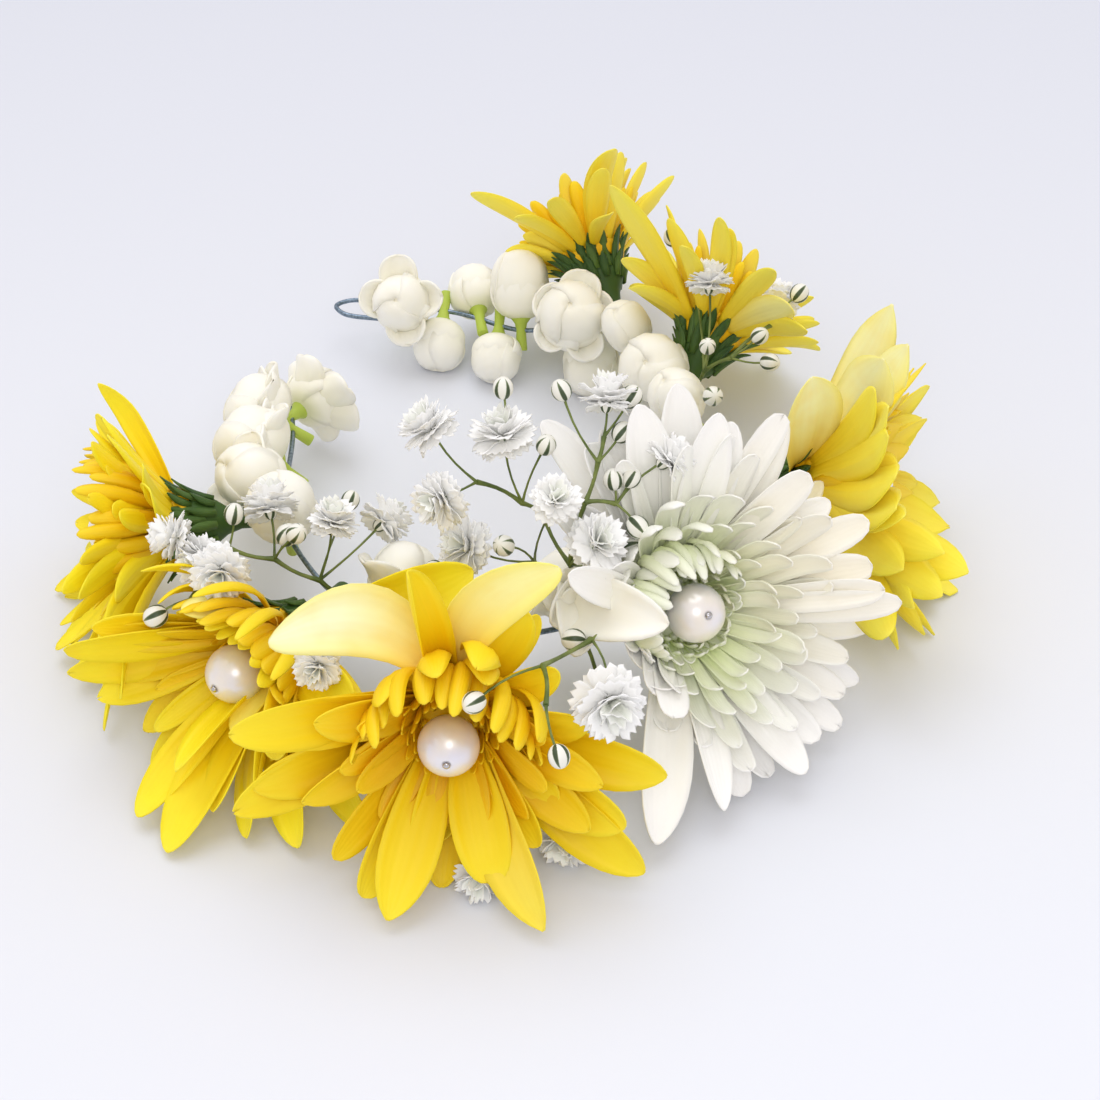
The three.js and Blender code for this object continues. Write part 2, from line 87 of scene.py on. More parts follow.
lens = bpy.data.cameras.new("front_camera")
lens.angle = view_angle
lens.clip_start = 0.01
view_turn = (-view_back).to_track_quat("-Z", "Y")
scene.camera = put("front_camera", lens, view_turn, view_target + view_back * view_distance)
scene.view_settings.view_transform = "Standard"

# Floor and light. A sheet of pale grey-blue card lies under the corsage. One wide soft lamp stands
# behind and above, a small one by the camera, and the rest of the light comes from all round.
floor_reach = 12.0
# The card is painted darker and bluer towards its far side, as falloff of the light.
card_near = "#E3E6EF"
card_far_painted_falloff = "#D4D8E5"
room_colour = "#FFF9F3"
room_level = 0.84
lamp_colour = "#F1F6FF"
sun_level = 0.95
sun_spread = radians(50)
sun_from = Vector((-0.12, 0.35, 0.95))
spot_level = 0.17
spot_size = 0.15
spot_aside = Vector((0.05, 0, 0.1))


def linear(code):
    """The linear colour of a hex sRGB code."""
    shares = [int(code[at : at + 2], 16) / 255 for at in (1, 3, 5)]
    return [*(s / 12.92 if s <= 0.04045 else ((s + 0.055) / 1.055) ** 2.4 for s in shares), 1.0]


def new_material(name):
    """An empty material, its main shader, and the call that adds a node to it."""
    material = bpy.data.materials.new(name)
    material.use_nodes = True
    return material, material.node_tree.nodes["Principled BSDF"], partial(node, material)


def give(material, made, inputs):
    """Gives a node's inputs their values, and links those for which a socket is given."""
    for name, value in inputs.items():
        if isinstance(value, bpy.types.NodeSocket):
            material.node_tree.links.new(value, made.inputs[name])
        else:
            made.inputs[name].default_value = value


def node(material, kind, inputs=None, stops=(), **settings):
    """Adds a node with its settings and inputs, and a colour ramp's stops of a place and a hex colour."""
    made = material.node_tree.nodes.new(f"ShaderNode{kind}")
    for name, value in settings.items():
        setattr(made, name, value)
    give(material, made, inputs or {})
    for place, _ in stops[1:-1]:
        made.color_ramp.elements.new(place)
    for at, (place, code) in enumerate(stops):
        made.color_ramp.elements[at].position = place
        made.color_ramp.elements[at].color = linear(code)
    return made


def show(bm, name, material):
    """Puts a finished mesh into the scene as a piece of its own, with its material."""
    mesh = bpy.data.meshes.new(name)
    bm.to_mesh(mesh)
    bm.free()
    piece = bpy.data.objects.new(name, mesh)
    scene.collection.objects.link(piece)
    mesh.materials.append(material)
    for face in mesh.polygons:
        face.use_smooth = True
    return piece


# Uncoated card, matt. It is painted a little bluer and darker at the far side, as falloff of the light.
painted_falloff_from, painted_falloff_to = -0.02, 0.25
card, shader, add = new_material("uncoated_card")
place = add("TexCoord").outputs["Object"]
along = add("SeparateXYZ", {0: place}).outputs["Y"]
share = add("MapRange", {"Value": along, "From Min": painted_falloff_from, "From Max": painted_falloff_to}).outputs[0]
colour = add("ValToRGB", {0: share}, [(0, card_near), (1, card_far_painted_falloff)])
give(card, shader, {"Base Color": colour.outputs["Color"], "Roughness": 0.9})
bm = bmesh.new()
bmesh.ops.create_grid(bm, x_segments=1, y_segments=1, size=floor_reach)
floor = show(bm, "floor", card)

world = bpy.data.worlds.new("room")
world.use_nodes = True
give(world, world.node_tree.nodes["Background"], {"Color": linear(room_colour), "Strength": room_level})
scene.world = world

sky = bpy.data.lights.new("window", "SUN")
sky.energy = sun_level
sky.angle = sun_spread
put("window", sky, sun_from.to_track_quat("Z", "Y"))
near = bpy.data.lights.new("lamp_by_camera", "AREA")
near.shape = "DISK"
near.size = spot_size
near.energy = spot_level
spot_back = (view_back + spot_aside) * view_distance
put("lamp_by_camera", near, spot_back.to_track_quat("Z", "Y"), view_target + spot_back)
for light in (sky, near):
    light.color = linear(lamp_colour)[:3]

# Wire. One soft steel wire, 0.8 mm thick and drawn bare, is bent by hand into an open ring. Its far
# end is folded back into a hairpin hook. It flexes at two places, so it is made as two lengths.
ring_radius = 34.0
ring_centre = (-2.9, 5.95)
wire_height = 16.0
wire_diameter = 0.8
hook_gap = 4.0
hook_return = 8.0
route_shares = [
    (-0.94, 0.47, 0.56), (-0.91, 0.235, 0.63), (-0.9, -0.03, 0.72), (-0.9, -0.29, 0.86),
    (-0.89, -0.515, 0.98), (-0.61, -0.97, 0.875), (-0.091, -1.28, 1.02), (0.603, -0.897, 0.69),
    (0.97, -0.253, 0.975), (0.96, 0.147, 0.75), (0.859, 0.512, 0.6), (0.629, 1.012, 0.62),
    (0.38, 1.144, 0.5), (0.118, 1.156, 0.44), (-0.165, 1.288, 0.44), (-0.485, 1.368, 0.44),
    (-0.729, 1.418, 0.42),
]
wire_middle = 7.0
wire_steps = 14
bend_reach = 3.0


def wire_places():
    """The places that the wire's line passes through, with the hairpin at its end."""
    centre = Vector((*ring_centre, 0))
    sizes = Vector((ring_radius, ring_radius, wire_height))
    places = [centre + Vector(shares) * sizes for shares in route_shares]
    tip = places[-1]
    ahead = ((tip - places[-2]) * Vector((1, 1, 0))).normalized()
    aside = Vector((-ahead.y, ahead.x, 0))
    bend = tip + (ahead + aside) * hook_gap / 2
    back = tip + aside * hook_gap
    return [*places, bend, back, back - ahead * hook_return]


places = wire_places()
last_place = len(places) - 1


def wire_point(at):
    """A place on the wire in millimetres, on the same centripetal curve as the CAD part's."""
    first = min(int(at), last_place - 1)
    share = at - first
    p1, p2 = places[first], places[first + 1]
    p0 = places[first - 1] if first > 0 else 2 * p1 - p2
    p3 = places[first + 2] if first + 2 <= last_place else 2 * p2 - p1
    d0, d1, d2 = [(b - a).length ** 0.5 for a, b in ((p0, p1), (p1, p2), (p2, p3))]
    t1 = ((p1 - p0) / d0 - (p2 - p0) / (d0 + d1) + (p2 - p1) / d1) * d1
    t2 = ((p2 - p1) / d1 - (p3 - p1) / (d1 + d2) + (p3 - p2) / d2) * d1
    cubic = 2 * p1 - 2 * p2 + t1 + t2
    square = -3 * p1 + 3 * p2 - 2 * t1 - t2
    return p1 + share * t1 + share**2 * square + share**3 * cubic


def add_bar(bm, points, radii):
    """Adds a round bar along points in millimetres, closed at both ends."""
    line = bpy.data.curves.new("bar", "CURVE")
    line.dimensions = "3D"
    line.bevel_depth = MM
    line.bevel_resolution = 2
    line.use_fill_caps = True
    spline = line.splines.new("POLY")
    spline.points.add(len(points) - 1)
    for made, point, radius in zip(spline.points, points, radii):
        made.co = (*(point * MM), 1)
        made.radius = radius
    holder = bpy.data.objects.new("bar", line)
    scene.collection.objects.link(holder)
    bpy.context.view_layer.update()
    shown = holder.evaluated_get(bpy.context.evaluated_depsgraph_get())
    mesh = bpy.data.meshes.new_from_object(shown)
    bm.from_mesh(mesh)
    bpy.data.objects.remove(holder)
    bpy.data.meshes.remove(mesh)


def mottled_material(name, patch, detail, stops, inputs):
    """A material whose colour wanders between its stops, in patches of a size in millimetres."""
    material, shader, add = new_material(name)
    place = add("TexCoord").outputs["Object"]
    cloud = add("TexNoise", {"Vector": place, "Scale": 1 / (patch * MM), "Detail": detail}).outputs[0]
    colour = add("ValToRGB", {0: cloud}, stops)
    give(material, shader, {"Base Color": colour.outputs["Color"], **inputs})
    return material


# Drawn steel, blue-grey, with a fine grain that catches the light.
steel_greys = [(0.3, "#5E6E7E"), (0.7, "#93A3B4")]
steel_looks = {"Metallic": 1.0, "Roughness": 0.34}
drawn_steel = mottled_material("drawn_steel_wire", 0.4, 3.0, steel_greys, steel_looks)

for name, start, end, tail, nodes in (
    ("wire_left", 0.0, wire_middle, "plain_tail", ["tail_wire"]),
    ("wire_right", wire_middle, float(last_place), "hook_tail", ["base_wire", "hook_wire"]),
):
    count = round((end - start) * wire_steps)
    line = [wire_point(start + (end - start) * step / count) for step in range(count + 1)]
    bm = bmesh.new()
    add_bar(bm, line, [wire_diameter / 2] * len(line))
    length = show(bm, name, drawn_steel)
    joint = next(j for j in frame["joints"] if j["child"] == tail)
    pivot = Vector(joint["pos_m"])
    nearest = min(range(1, count), key=lambda step: (line[step] * MM - pivot).length)
    ahead = (line[nearest + 1] - line[nearest - 1]).normalized() * bend_reach * MM
    if tail == "plain_tail":
        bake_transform(length, tail, "garland", start=pivot - ahead, end=pivot + ahead)
    else:
        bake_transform(length, "garland", tail, start=pivot - ahead, end=pivot + ahead)
    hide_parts(*nodes)

# Chrysanthemum heads. Each is a green cup on a short stem that the wire passes through, with long
# thin petals in whorls round it. The outer petals are long and splayed. The inner ones are narrow and
# curl up round a low dome of tiny unopened florets, which the pearl is pushed into.
hub_radius = 4.2
hub_depth = 2.2
calyx_depth = 6.0
calyx_radius = 4.5
stem_radius = 1.6
stem_end = 1.8
pearl_seat = 9.8
floret_length = 25.5
floret_width = 7.6
petal_thickness = 0.2
petal_rest = 0.3
neighbour_gap = 1.2
table_gap = 0.5
near_share = 2.2
fit_turns = 48
fit_share = 0.95
fit_step = 0.04
lying_share = 0.03
leading_reach = radians(11)
white_head = 4
# What sets a head apart, mostly as shares of the usual one. Push is how hard it holds its neighbours
# off. Short is the side where its petals are shorter, and their share. Awning is how far the upper ones
# hang over, cage how far the collar curls in, and curl on which side. Face is how far the leading petals
# turn flat to the eye. Slim, sharp, more and long are about all its petals. The golden share is painted
# golden shade over all its petals, and the lemon share painted light that makes them paler.
heads = {
    1: dict(stem=1.25, size=0.98, open=0.76, slim=0.6, more=1.2, cage=0.7, curl=80, short=(115, 0.68)),
    2: dict(stem=0.85, size=1.04, open=0.82, push=0.92, slim=0.8, awning=0.5, cage=0.6, curl=80, gold=0.1),
    3: dict(stem=1.25, size=1.1, open=0.9, push=1.15, slim=0.9, awning=1.0, cage=1.0, gold=0.35),
    4: dict(stem=0.9, size=1.1, open=1.0, push=1.05, slim=0.62, cage=1.0, curl=115, short=(182, 0.4)),
    5: dict(stem=1.15, size=1.12, open=0.83, slim=0.88, cage=0.6, face=0.7, sharp=1.5, lemon=0.1),
    6: dict(stem=0.85, size=0.92, open=0.72, slim=0.48, more=1.35, long=0.9, lemon=0.15, short=(165, 0.72)),
    7: dict(stem=1.3, size=0.92, open=0.72, slim=0.58, more=0.9, long=0.78, lemon=0.15, short=(-15, 0.6)),
}
usual = dict(
    push=1.0, more=1.0, awning=0.0, cage=0.3, curl=90, face=0.0, sharp=1.0, gold=0.0, lemon=0.0,
    long=1.0, short=(0, 1.0),
)
heads = {number: {**usual, **head} for number, head in heads.items()}
# The whorls, from the back. A row holds how many petals there are, their length and width, the angles
# from the axis at which they leave and end, their angle when they are pressed upright, where on the
# hub they start, and how much of the heart's colour they take: green on the white head, and golden on
# the yellow ones, partly their own colour and partly painted shade.
whorl_columns = ("count", "length", "width", "leaves", "ends", "upright", "out", "up", "heart")
yellow_whorls = [
    (13, 1.0, 1.0, 60, 92, 36, 0.95, 0.2, 0.0),
    (12, 0.92, 0.94, 52, 82, 32, 0.92, 0.5, 0.1),
    (11, 0.76, 0.82, 44, 70, 28, 0.88, 0.9, 0.3),
    (13, 0.55, 0.58, 38, 56, 26, 0.84, 1.2, 0.6),
    (22, 0.24, 0.18, 28, 8, 22, 1.08, 1.0, 0.9),
    (18, 0.2, 0.17, 20, 0, 18, 0.96, 1.4, 1.0),
]
white_whorls = [
    (20, 1.0, 1.0, 62, 94, 36, 0.98, 0.1, 0.0),
    (20, 0.93, 0.92, 58, 86, 33, 0.96, 0.3, 0.0),
    (21, 0.82, 0.8, 53, 76, 31, 0.94, 0.5, 0.1),
    (22, 0.7, 0.64, 48, 64, 29, 0.92, 0.7, 0.3),
    (23, 0.6, 0.52, 45, 50, 27, 0.9, 0.9, 0.5),
    (24, 0.5, 0.42, 42, 32, 25, 0.9, 1.1, 0.7),
    (24, 0.26, 0.28, 30, 8, 22, 1.1, 1.0, 1.0),
    (20, 0.21, 0.26, 22, 0, 18, 0.98, 1.4, 1.0),
]
# How many degrees further a whorl of the white head folds over, on the side where its collar curls.
white_folds = {3: 30, 4: 52, 5: 70}
# The collar's petals: count, length and width in millimetres, and the angles at which they leave and
# end, first on the low side of the head and then on the side where they curl over towards the pearl.
yellow_collar = dict(count=27, length=(6.5, 19.0), width=2.7, leaves=(46, 86), ends=(58, -36))
white_collar = dict(count=32, length=(5.5, 16.0), width=2.2, leaves=(42, 92), ends=(24, -74))
# What a petal's colour reads at each point: its own tone, how much it takes of the heart's colour (with
# any painted golden shade), and how much painted light makes it paler.
petal_values = ("tone", "heart", "pale")
# The petals that lead the look of each head: angle round it, lean from its axis, length and width.
# What sets one apart follows: how much painted light makes it paler, how notched, hooked or twisted it
# is, and where its root is.
leading_petals = {
    1: [
        (152, 68, 20.5, 3.6, dict(hook=-0.14, bend=-0.2, face=0.6)),
        (172, 63, 20.5, 3.6, dict(hook=-0.06, face=0.6)), (178, 58, 16.5, 3.2, dict(face=0.5)),
        (189, 55, 16.5, 3.6), (193, 46, 13, 3.4), (66, 74, 16, 4.2), (56, 76, 16, 5.6, dict(face=0.5)),
        (55, 43, 12.5, 3.6), (48, 54, 14, 3.4), (13, 36, 21, 5), (11, 42, 20, 5.4), (7, 53, 16.5, 4.6),
        (358, 54, 20, 4.6), (355, 58, 24, 5.6), (332, 57, 24, 5.2), (348, 67, 27, 5.4), (328, 62, 28.5, 3.2),
    ],
    2: [
        (287, 24, 31, 7.6), (262, 22, 29, 6), (230, 30, 19, 3.6), (310, 36, 25.5, 6.8), (323, 48, 26.5, 8),
        (331, 68, 26.5, 7.4), (353, 59, 20, 7), (301, 5, 24, 6), (36, 116, 29, 8.5, dict(up=0.2, bend=0.9)),
        (303, 24, 24, 6.6, dict(up=0.9)), (318, 32, 22, 6.4, dict(up=1.1)),
        (357, 60, 17.5, 10, dict(notch=0.12, blunt=0.25, peak=0.8, cup=0.4, face=0.8)),
        (16, 64, 20, 8, dict(blunt=0.3, face=0.6, up=0.8)), (340, 33, 17, 5.4, dict(up=1.0, face=0.5)),
        (332, 8, 15.5, 4, dict(up=0.8, face=0.5, pale=0.2)),
        (120, 32, 15, 5.8, dict(up=1.0, bend=-1.1, pale=0.5, face=0.4)),
        (109, 27, 14, 2.8, dict(up=1.2, bend=-1.1)), (99, 24, 14, 2.7, dict(up=1.2, bend=-1.1)),
        (89, 20, 13, 2.6, dict(up=1.3, bend=-1.1)), (78, 20, 12.5, 2.6, dict(up=1.3, bend=-1.1)),
        (66, 24, 13, 2.7, dict(up=1.3, bend=-1.1)), (50, 28, 15, 2.9, dict(up=1.2, bend=-1.0)),
        (34, 26, 15, 3.0, dict(up=1.2, bend=-0.9)),
    ],
    3: [
        (304, 40, 29.5, 8.4, dict(pale=0.1, blunt=0.8)), (249, 38, 27, 7.8, dict(blunt=0.7)),
        (240, 46, 25, 6.5), (291, 36, 21.5, 7.4, dict(notch=0.05, hook=0.06, up=1.4, blunt=0.35)),
        (326, 64, 30, 8), (336, 60, 24.5, 8.6, dict(up=0.9)), (350, 72, 26, 7.5, dict(up=0.7)),
        (60, 83, 24, 7.6, dict(pale=0.6, heart=0, root=92, up=1.5, bow=-0.16, roll=-0.3)),
        (147, 73, 24, 9.5, dict(pale=1.0, heart=0, root=100, up=1.5, cup=0.15, bow=0.24, face=0.5)),
        (101, 76, 24, 5.4, dict(root=95, up=1.2, twist=1.5, hook=-0.1, cup=0.8)),
        (266, 44, 15, 4.6, dict(up=1.6, hook=-0.08)), (255, 40, 18, 5, dict(up=1.4)),
        (312, 46, 19, 5.6, dict(up=1.6)), (228, 52, 17, 4.6, dict(up=1.4)), (12, 60, 17, 6, dict(up=1.4)),
        (330, 50, 16, 6, dict(up=1.6)), (48, 104, 13, 4, dict(up=1.2)), (34, 68, 14, 5, dict(up=1.4)),
        (60, 80, 16, 6, dict(up=1.0)),
    ],
    4: [
        (110, 89, 28, 6), (100, 78, 24, 5.6), (91, 70, 27, 7), (78, 74, 28, 7), (70, 62, 26, 6.4),
        (62, 68, 24, 6), (45, 74, 27, 6), (29, 72, 23, 5.6), (20, 66, 23, 5.2), (18, 92, 26, 5.2),
        (337, 88, 28, 4.8), (322, 84, 27, 5), (288, 62, 26, 5.6), (259, 60, 26, 5), (240, 65, 30, 7.4),
        (147, 52, 22, 5),
    ],
    5: [
        (65, 64, 26, 7, dict(pale=0.8)), (87, 55, 26, 8, dict(pale=0.9)), (111, 63, 26, 6.6),
        (99, 62, 26, 9, dict(pale=0.8, up=0.7)), (115, 58, 26, 7, dict(pale=0.2)), (124, 57, 26, 6.6),
        (136, 53, 26, 8, dict(up=0.8)), (146, 52, 26, 8, dict(up=1.0)), (149, 49, 26, 6.2),
        (166, 34, 27, 6.2), (178, 28, 29, 7.4, dict(up=0.9)), (180, 39, 29, 6.2),
        (188, 44, 26, 5.5, dict(up=1.2, twist=0.6)), (189, 56, 28, 7, dict(blunt=0.5)),
        (191, 54, 26, 4.5, dict(up=0.8)), (106, 83, 22, 9.5, dict(pale=1.0, cup=0.2, up=0.1, blunt=0.7)),
        (172, 45, 24, 6.6), (30, 69, 26, 6), (12, 63, 26, 6),
    ],
    6: [
        (61, 78, 28, 5.4, dict(cup=0.2, up=0.1, bend=0.15)), (70, 67, 19, 3.4), (85, 84, 19, 3.4),
        (95, 70, 22, 3.6), (98, 64, 19, 3.4), (120, 83, 22, 3.6), (134, 88, 19, 5.6, dict(pale=0.6)),
        (145, 92, 19, 4.4), (47, 85, 16, 4.8), (49, 70, 16, 4.6), (50, 100, 13, 4.6), (2, 70, 13, 4.4),
    ],
    7: [
        (32, 62, 22, 3.8), (46, 86, 19, 3), (67, 87, 19, 3.4, dict(sweep=0.1)),
        (91, 79, 22, 5.2, dict(bend=0.8)), (87, 82, 19, 4), (84, 104, 16, 3.5),
    ],
}


def head_axis(number):
    """The way that a head faces, which is the way that its pearl pulls out."""
    joint = next(j for j in frame["joints"] if j["name"] == f"pearl_{number}_pull")
    return Vector(joint["axis"]).normalized()


def head_centre(number):
    """The middle of a head's hub in millimetres, which is straight below its pearl."""
    low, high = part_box(f"pearl_{number}")
    return (low + high) / 2 / MM - head_axis(number) * pearl_seat


def stand(axis, at):
    """The matrix from a flower's own space in millimetres, with Z along its axis, to the scene."""
    side = Vector((0, 0, 1)).cross(axis).normalized()
    turn = Matrix((side, axis.cross(side), axis)).transposed().to_4x4()
    return Matrix.Scale(MM, 4) @ Matrix.Translation(at) @ turn


def head_place(number):
    """The matrix from a head's own space to the scene."""
    return stand(head_axis(number), head_centre(number))


def limits(number):
    """The planes that a head's petals stay behind: the table, and one to each head near it."""
    planes = [(Vector((0, 0, table_gap)), Vector((0, 0, -1)))]
    middles = {head: head_centre(head) + head_axis(head) * floret_length / 4 for head in heads}
    own = middles[number]
    for other, middle in middles.items():
        if other == number or (middle - own).length > near_share * floret_length:
            continue
        share = heads[number]["push"] / (heads[number]["push"] + heads[other]["push"])
        away = (middle - own).normalized()
        planes.append((own.lerp(middle, share) - away * neighbour_gap, away))
    return planes


def petal_line(whorl, head, press):
    """A petal's leaving and ending angles from the axis, between pressed together and open."""
    angles = ((whorl["upright"], whorl["leaves"]), (whorl["upright"] + 2, whorl["ends"]))
    return [radians(pressed + (opened * head["open"] - pressed) * press) for pressed, opened in angles]


def off_axis(angle, out, high):
    """A place in a flower's own space: its angle round the axis, how far out and how high it is."""
    return Vector((out * cos(angle), out * sin(angle), high))


def petal_root(angle, out, up):
    """Where a petal leaves the hub, in the head's space."""
    return off_axis(angle, hub_radius * out, hub_depth * up)


def chord(angle, lean):
    """The direction from a petal's root to its tip, and the way that its back faces."""
    rise, reach = cos(lean), sin(lean)
    return off_axis(angle, reach, rise), off_axis(angle, rise, -reach)


def how_open(number, whorl):
    """How far the petals can open at each of a ring of angles before they meet something."""
    head = heads[number]
    planes = limits(number)
    place = Matrix.Scale(1 / MM, 4) @ head_place(number)
    reach = floret_length * whorl["length"] * head["size"] * fit_share
    found = []
    for turn in range(fit_turns):
        angle = tau * turn / fit_turns
        press = 1.0
        while press > 0:
            start, end = petal_line(whorl, head, press)
            ahead, _ = chord(angle, (start + end) / 2)
            tip = place @ (petal_root(angle, whorl["out"], whorl["up"]) + ahead * reach)
            if all((tip - point).dot(away) < 0 for point, away in planes):
                break
            press -= fit_step
        found.append(max(press, 0))
    return [min(found[at - 1], found[at], found[(at + 1) % fit_turns]) for at in range(fit_turns)]


def tint(bm, vert, tone, heart, pale):
    """Gives a point of a petal the values that its colour reads."""
    for name, value in zip(petal_values, (tone, heart, pale)):
        vert[bm.verts.layers.float[name]] = value


def add_petal(bm, root, ahead, back, length, width, bend, grid=(6, 10), cup=0.3, claw=0.4, peak=0.64,
              blunt=0.55, notch=0.0, hook=0.0, twist=0.0, sweep=0.0, bow=0.0, wave=0.0, teeth=0, tone=0.0,
              heart=0.0, pale=0.0):
    """A petal: a flat grid that is narrowed at its foot and tip, cupped, grooved and bent along an arc."""
    made = bmesh.ops.create_grid(bm, x_segments=grid[0], y_segments=grid[1], size=1, calc_uvs=True)["verts"]
    side = back.cross(ahead)
    radius = length / bend
    for vert in made:
        across, share = vert.co.x, (vert.co.y + 1) / 2
        share = 1 - (1 - share) ** 1.7
        rise = claw + (1 - claw) * sin(pi / 2 * min(share / peak, 1)) ** 1.3
        fall = max(0.0, 1 - max(0, (share - peak) / (1 - peak)) ** 2.1) ** blunt
        half = width / 2 * max(rise * fall, 0.05)
        share *= 1 - notch * max(0, 1 - abs(across) * 2.2) * share**8
        share *= 1 - 0.07 * (1 - cos(teeth * pi * across)) * share**4
        turn = bend * (share - 0.5)
        along = radius * (sin(turn) + sin(bend / 2))
        off = radius * (cos(bend / 2) - cos(turn))
        curl = max(0, (share - 0.7) / 0.3) ** 2
        point = root + ahead * along + back * (off + hook * length * curl)
        point += side * length * (sweep * share**2 + 4 * bow * share * (1 - share))
        lean = back * cos(turn) - ahead * sin(turn)
        roll = twist * (share - 0.15)
        level = side * cos(roll) + lean * sin(roll)
        lean = lean * cos(roll) - side * sin(roll)
        deep = cup * (1.25 - 0.6 * share) * half * (across**2 - 0.35)
        groove = 0.03 * width * cos(2 * pi * across) * sin(pi * min(1, share * 1.05))
        ripple = wave * width * abs(across) * sin(9 * share + 5 * tone + 2 * across)
        vert.co = point + level * across * half - lean * (deep + groove + ripple)
        # Painted highlight: the petal's painted light grows from its foot and is strongest down its middle.
        tint(bm, vert, tone, heart, pale * min(1, 1.5 * share) * (1 - 0.5 * across**2))


def petal_mesh():
    """An empty mesh that petals are added to, with the values that their colour reads."""
    bm = bmesh.new()
    bm.loops.layers.uv.new("UVMap")
    for name in petal_values:
        bm.verts.layers.float.new(name)
    return bm


def finish_petals(bm, place, name, material, thickness=petal_thickness):
    """Brings petals to their place, lays those that reach it on the table, and gives them thickness."""
    bm.transform(place)
    lowest = (petal_rest + thickness / 2) * MM
    for vert in bm.verts:
        if vert.co.z < lowest:
            vert.co.z = lowest + (vert.co.z - lowest) * lying_share
    piece = show(bm, name, material)
    leaf = piece.modifiers.new("leaf", "SOLIDIFY")
    leaf.thickness = thickness * MM
    leaf.offset = 0
    return piece


def petal_material(name, stops, heart_stops, painted_light_colour, deeper, glow, glow_colour, vein, rough=0.5):
    """A living petal: satin and a little see-through, coloured from foot to tip, with fine long veins, and
    painted light and shade mixed in.
    """
    material, shader, add = new_material(name)
    spread = add("SeparateXYZ", {0: add("UVMap").outputs["UV"]})
    tone, heart, pale = (
        add("Attribute", attribute_name=value).outputs["Fac"] for value in petal_values
    )
    place = add("TexCoord").outputs["Object"]
    cloud_size, vein_count = 5 * MM, 7
    shade = add("TexNoise", {"Vector": place, "Scale": 1 / cloud_size, "Detail": 2.0}).outputs[0]
    lines = add("Math", {0: spread.outputs["X"], 1: vein_count * tau}, operation="MULTIPLY").outputs[0]
    lines = add("Math", {0: lines}, operation="SINE").outputs[0]
    for source, strength in ((lines, 0.06 * vein), (tone, 0.14)):
        shade = add("Math", {0: source, 1: strength, 2: shade}, operation="MULTIPLY_ADD").outputs[0]
    deep = add("MapRange", {"Value": shade, "From Min": 0.45, "From Max": 0.95, "To Max": 0.4}).outputs[0]
    colour = add("ValToRGB", {0: spread.outputs["Y"]}, stops).outputs["Color"]
    inner = add("ValToRGB", {0: spread.outputs["Y"]}, heart_stops).outputs["Color"]
    # The heart's colour carries painted golden shade, and the paler colour is painted light.
    for amount, other in ((heart, inner), (pale, linear(painted_light_colour)), (deep, linear(deeper))):
        colour = add("Mix", {0: amount, 6: colour, 7: other}, data_type="RGBA").outputs[2]
    bump = add("Bump", {"Height": lines, "Strength": 0.3 * vein, "Distance": 0.08 * MM}).outputs["Normal"]
    give(material, shader, {
        "Base Color": colour, "Normal": bump, "Roughness": rough, "Specular IOR Level": 0.35,
        "Subsurface Weight": glow, "Subsurface Radius": glow_colour, "Subsurface Scale": 0.4 * MM,
    })
    return material


# Fresh chrysanthemum petal, lemon yellow, deeper and more golden towards its foot and in the heart of
# the head, partly its own colour and partly painted shade. Its paler colour is painted light, as if
# overexposed.
yellow_petal = petal_material(
    "yellow_chrysanthemum_petal",
    [(0, "#F6CC00"), (0.3, "#FFE408"), (0.75, "#FFF02A"), (1, "#FFF040")],
    [(0, "#E0A400"), (0.6, "#F3C204"), (1, "#FBD616")],
    painted_light_colour="#FDFFD2", deeper="#F6D008", glow=0.05, glow_colour=(1.0, 0.85, 0.2), vein=0.4,
)
# Fresh white petal: snow white outside, and pale green like the inside of a melon in the heart. Its
# paler colour is a warm cream, painted on one side of the head as light reflected from a yellow head.
white_petal = petal_material(
    "white_chrysanthemum_petal",
    [(0, "#E4EBCB"), (0.25, "#FAF9F2"), (0.75, "#FEFDFB"), (1, "#FEFDFC")],
    [(0, "#D0E466"), (0.5, "#EAF4BE"), (1, "#FBFCF0")],
    painted_light_colour="#FBF3DC", deeper="#F7F5EE", glow=0.05, glow_colour=(1.0, 1.0, 0.9), vein=0.4,
)
# Living leaf green, dark and matt, with a paler edge.
calyx_green = petal_material(
    "calyx_leaf_green",
    [(0, "#3B5A22"), (0.6, "#2F5224"), (1, "#4B6E33")],
    [(0, "#5F7D35"), (1, "#3F6128")],
    painted_light_colour="#8DAA4E", deeper="#22401C", glow=0.05, glow_colour=(0.6, 1.0, 0.3), vein=1.0,
)


def add_collar(bm, head, collar, pick):
    """The innermost petals. On one side of the head they curl over towards the pearl like a cage."""
    for leaf in range(collar["count"]):
        angle = tau * (leaf + pick.uniform(-0.2, 0.2)) / collar["count"]
        over = 0.5 + 0.75 * cos(angle - radians(head["curl"]))
        over = min(1, max(0, over)) ** 0.8 * head["cage"]
        length, leaves, ends = (low + (high - low) * over for low, high in
                                (collar["length"], collar["leaves"], collar["ends"]))
        leaves, ends = (radians(angle + pick.uniform(-5, 5)) for angle in (leaves, ends))
        ahead, back = chord(angle, (leaves + ends) / 2)
        root = petal_root(angle, 0.92, 1.0 + 0.4 * (leaf % 2))
        length *= pick.uniform(0.86, 1.06)
        width = collar["width"] * min(1, head["slim"] / 0.7) * pick.uniform(0.85, 1.15)
        add_petal(
            bm, root, ahead, back, length, width, ends - leaves, grid=(4, 9), cup=0.75, claw=0.6, peak=0.7,
            blunt=0.42, sweep=pick.uniform(-0.05, 0.05), tone=pick.uniform(-1, 1), heart=0.7,
        )


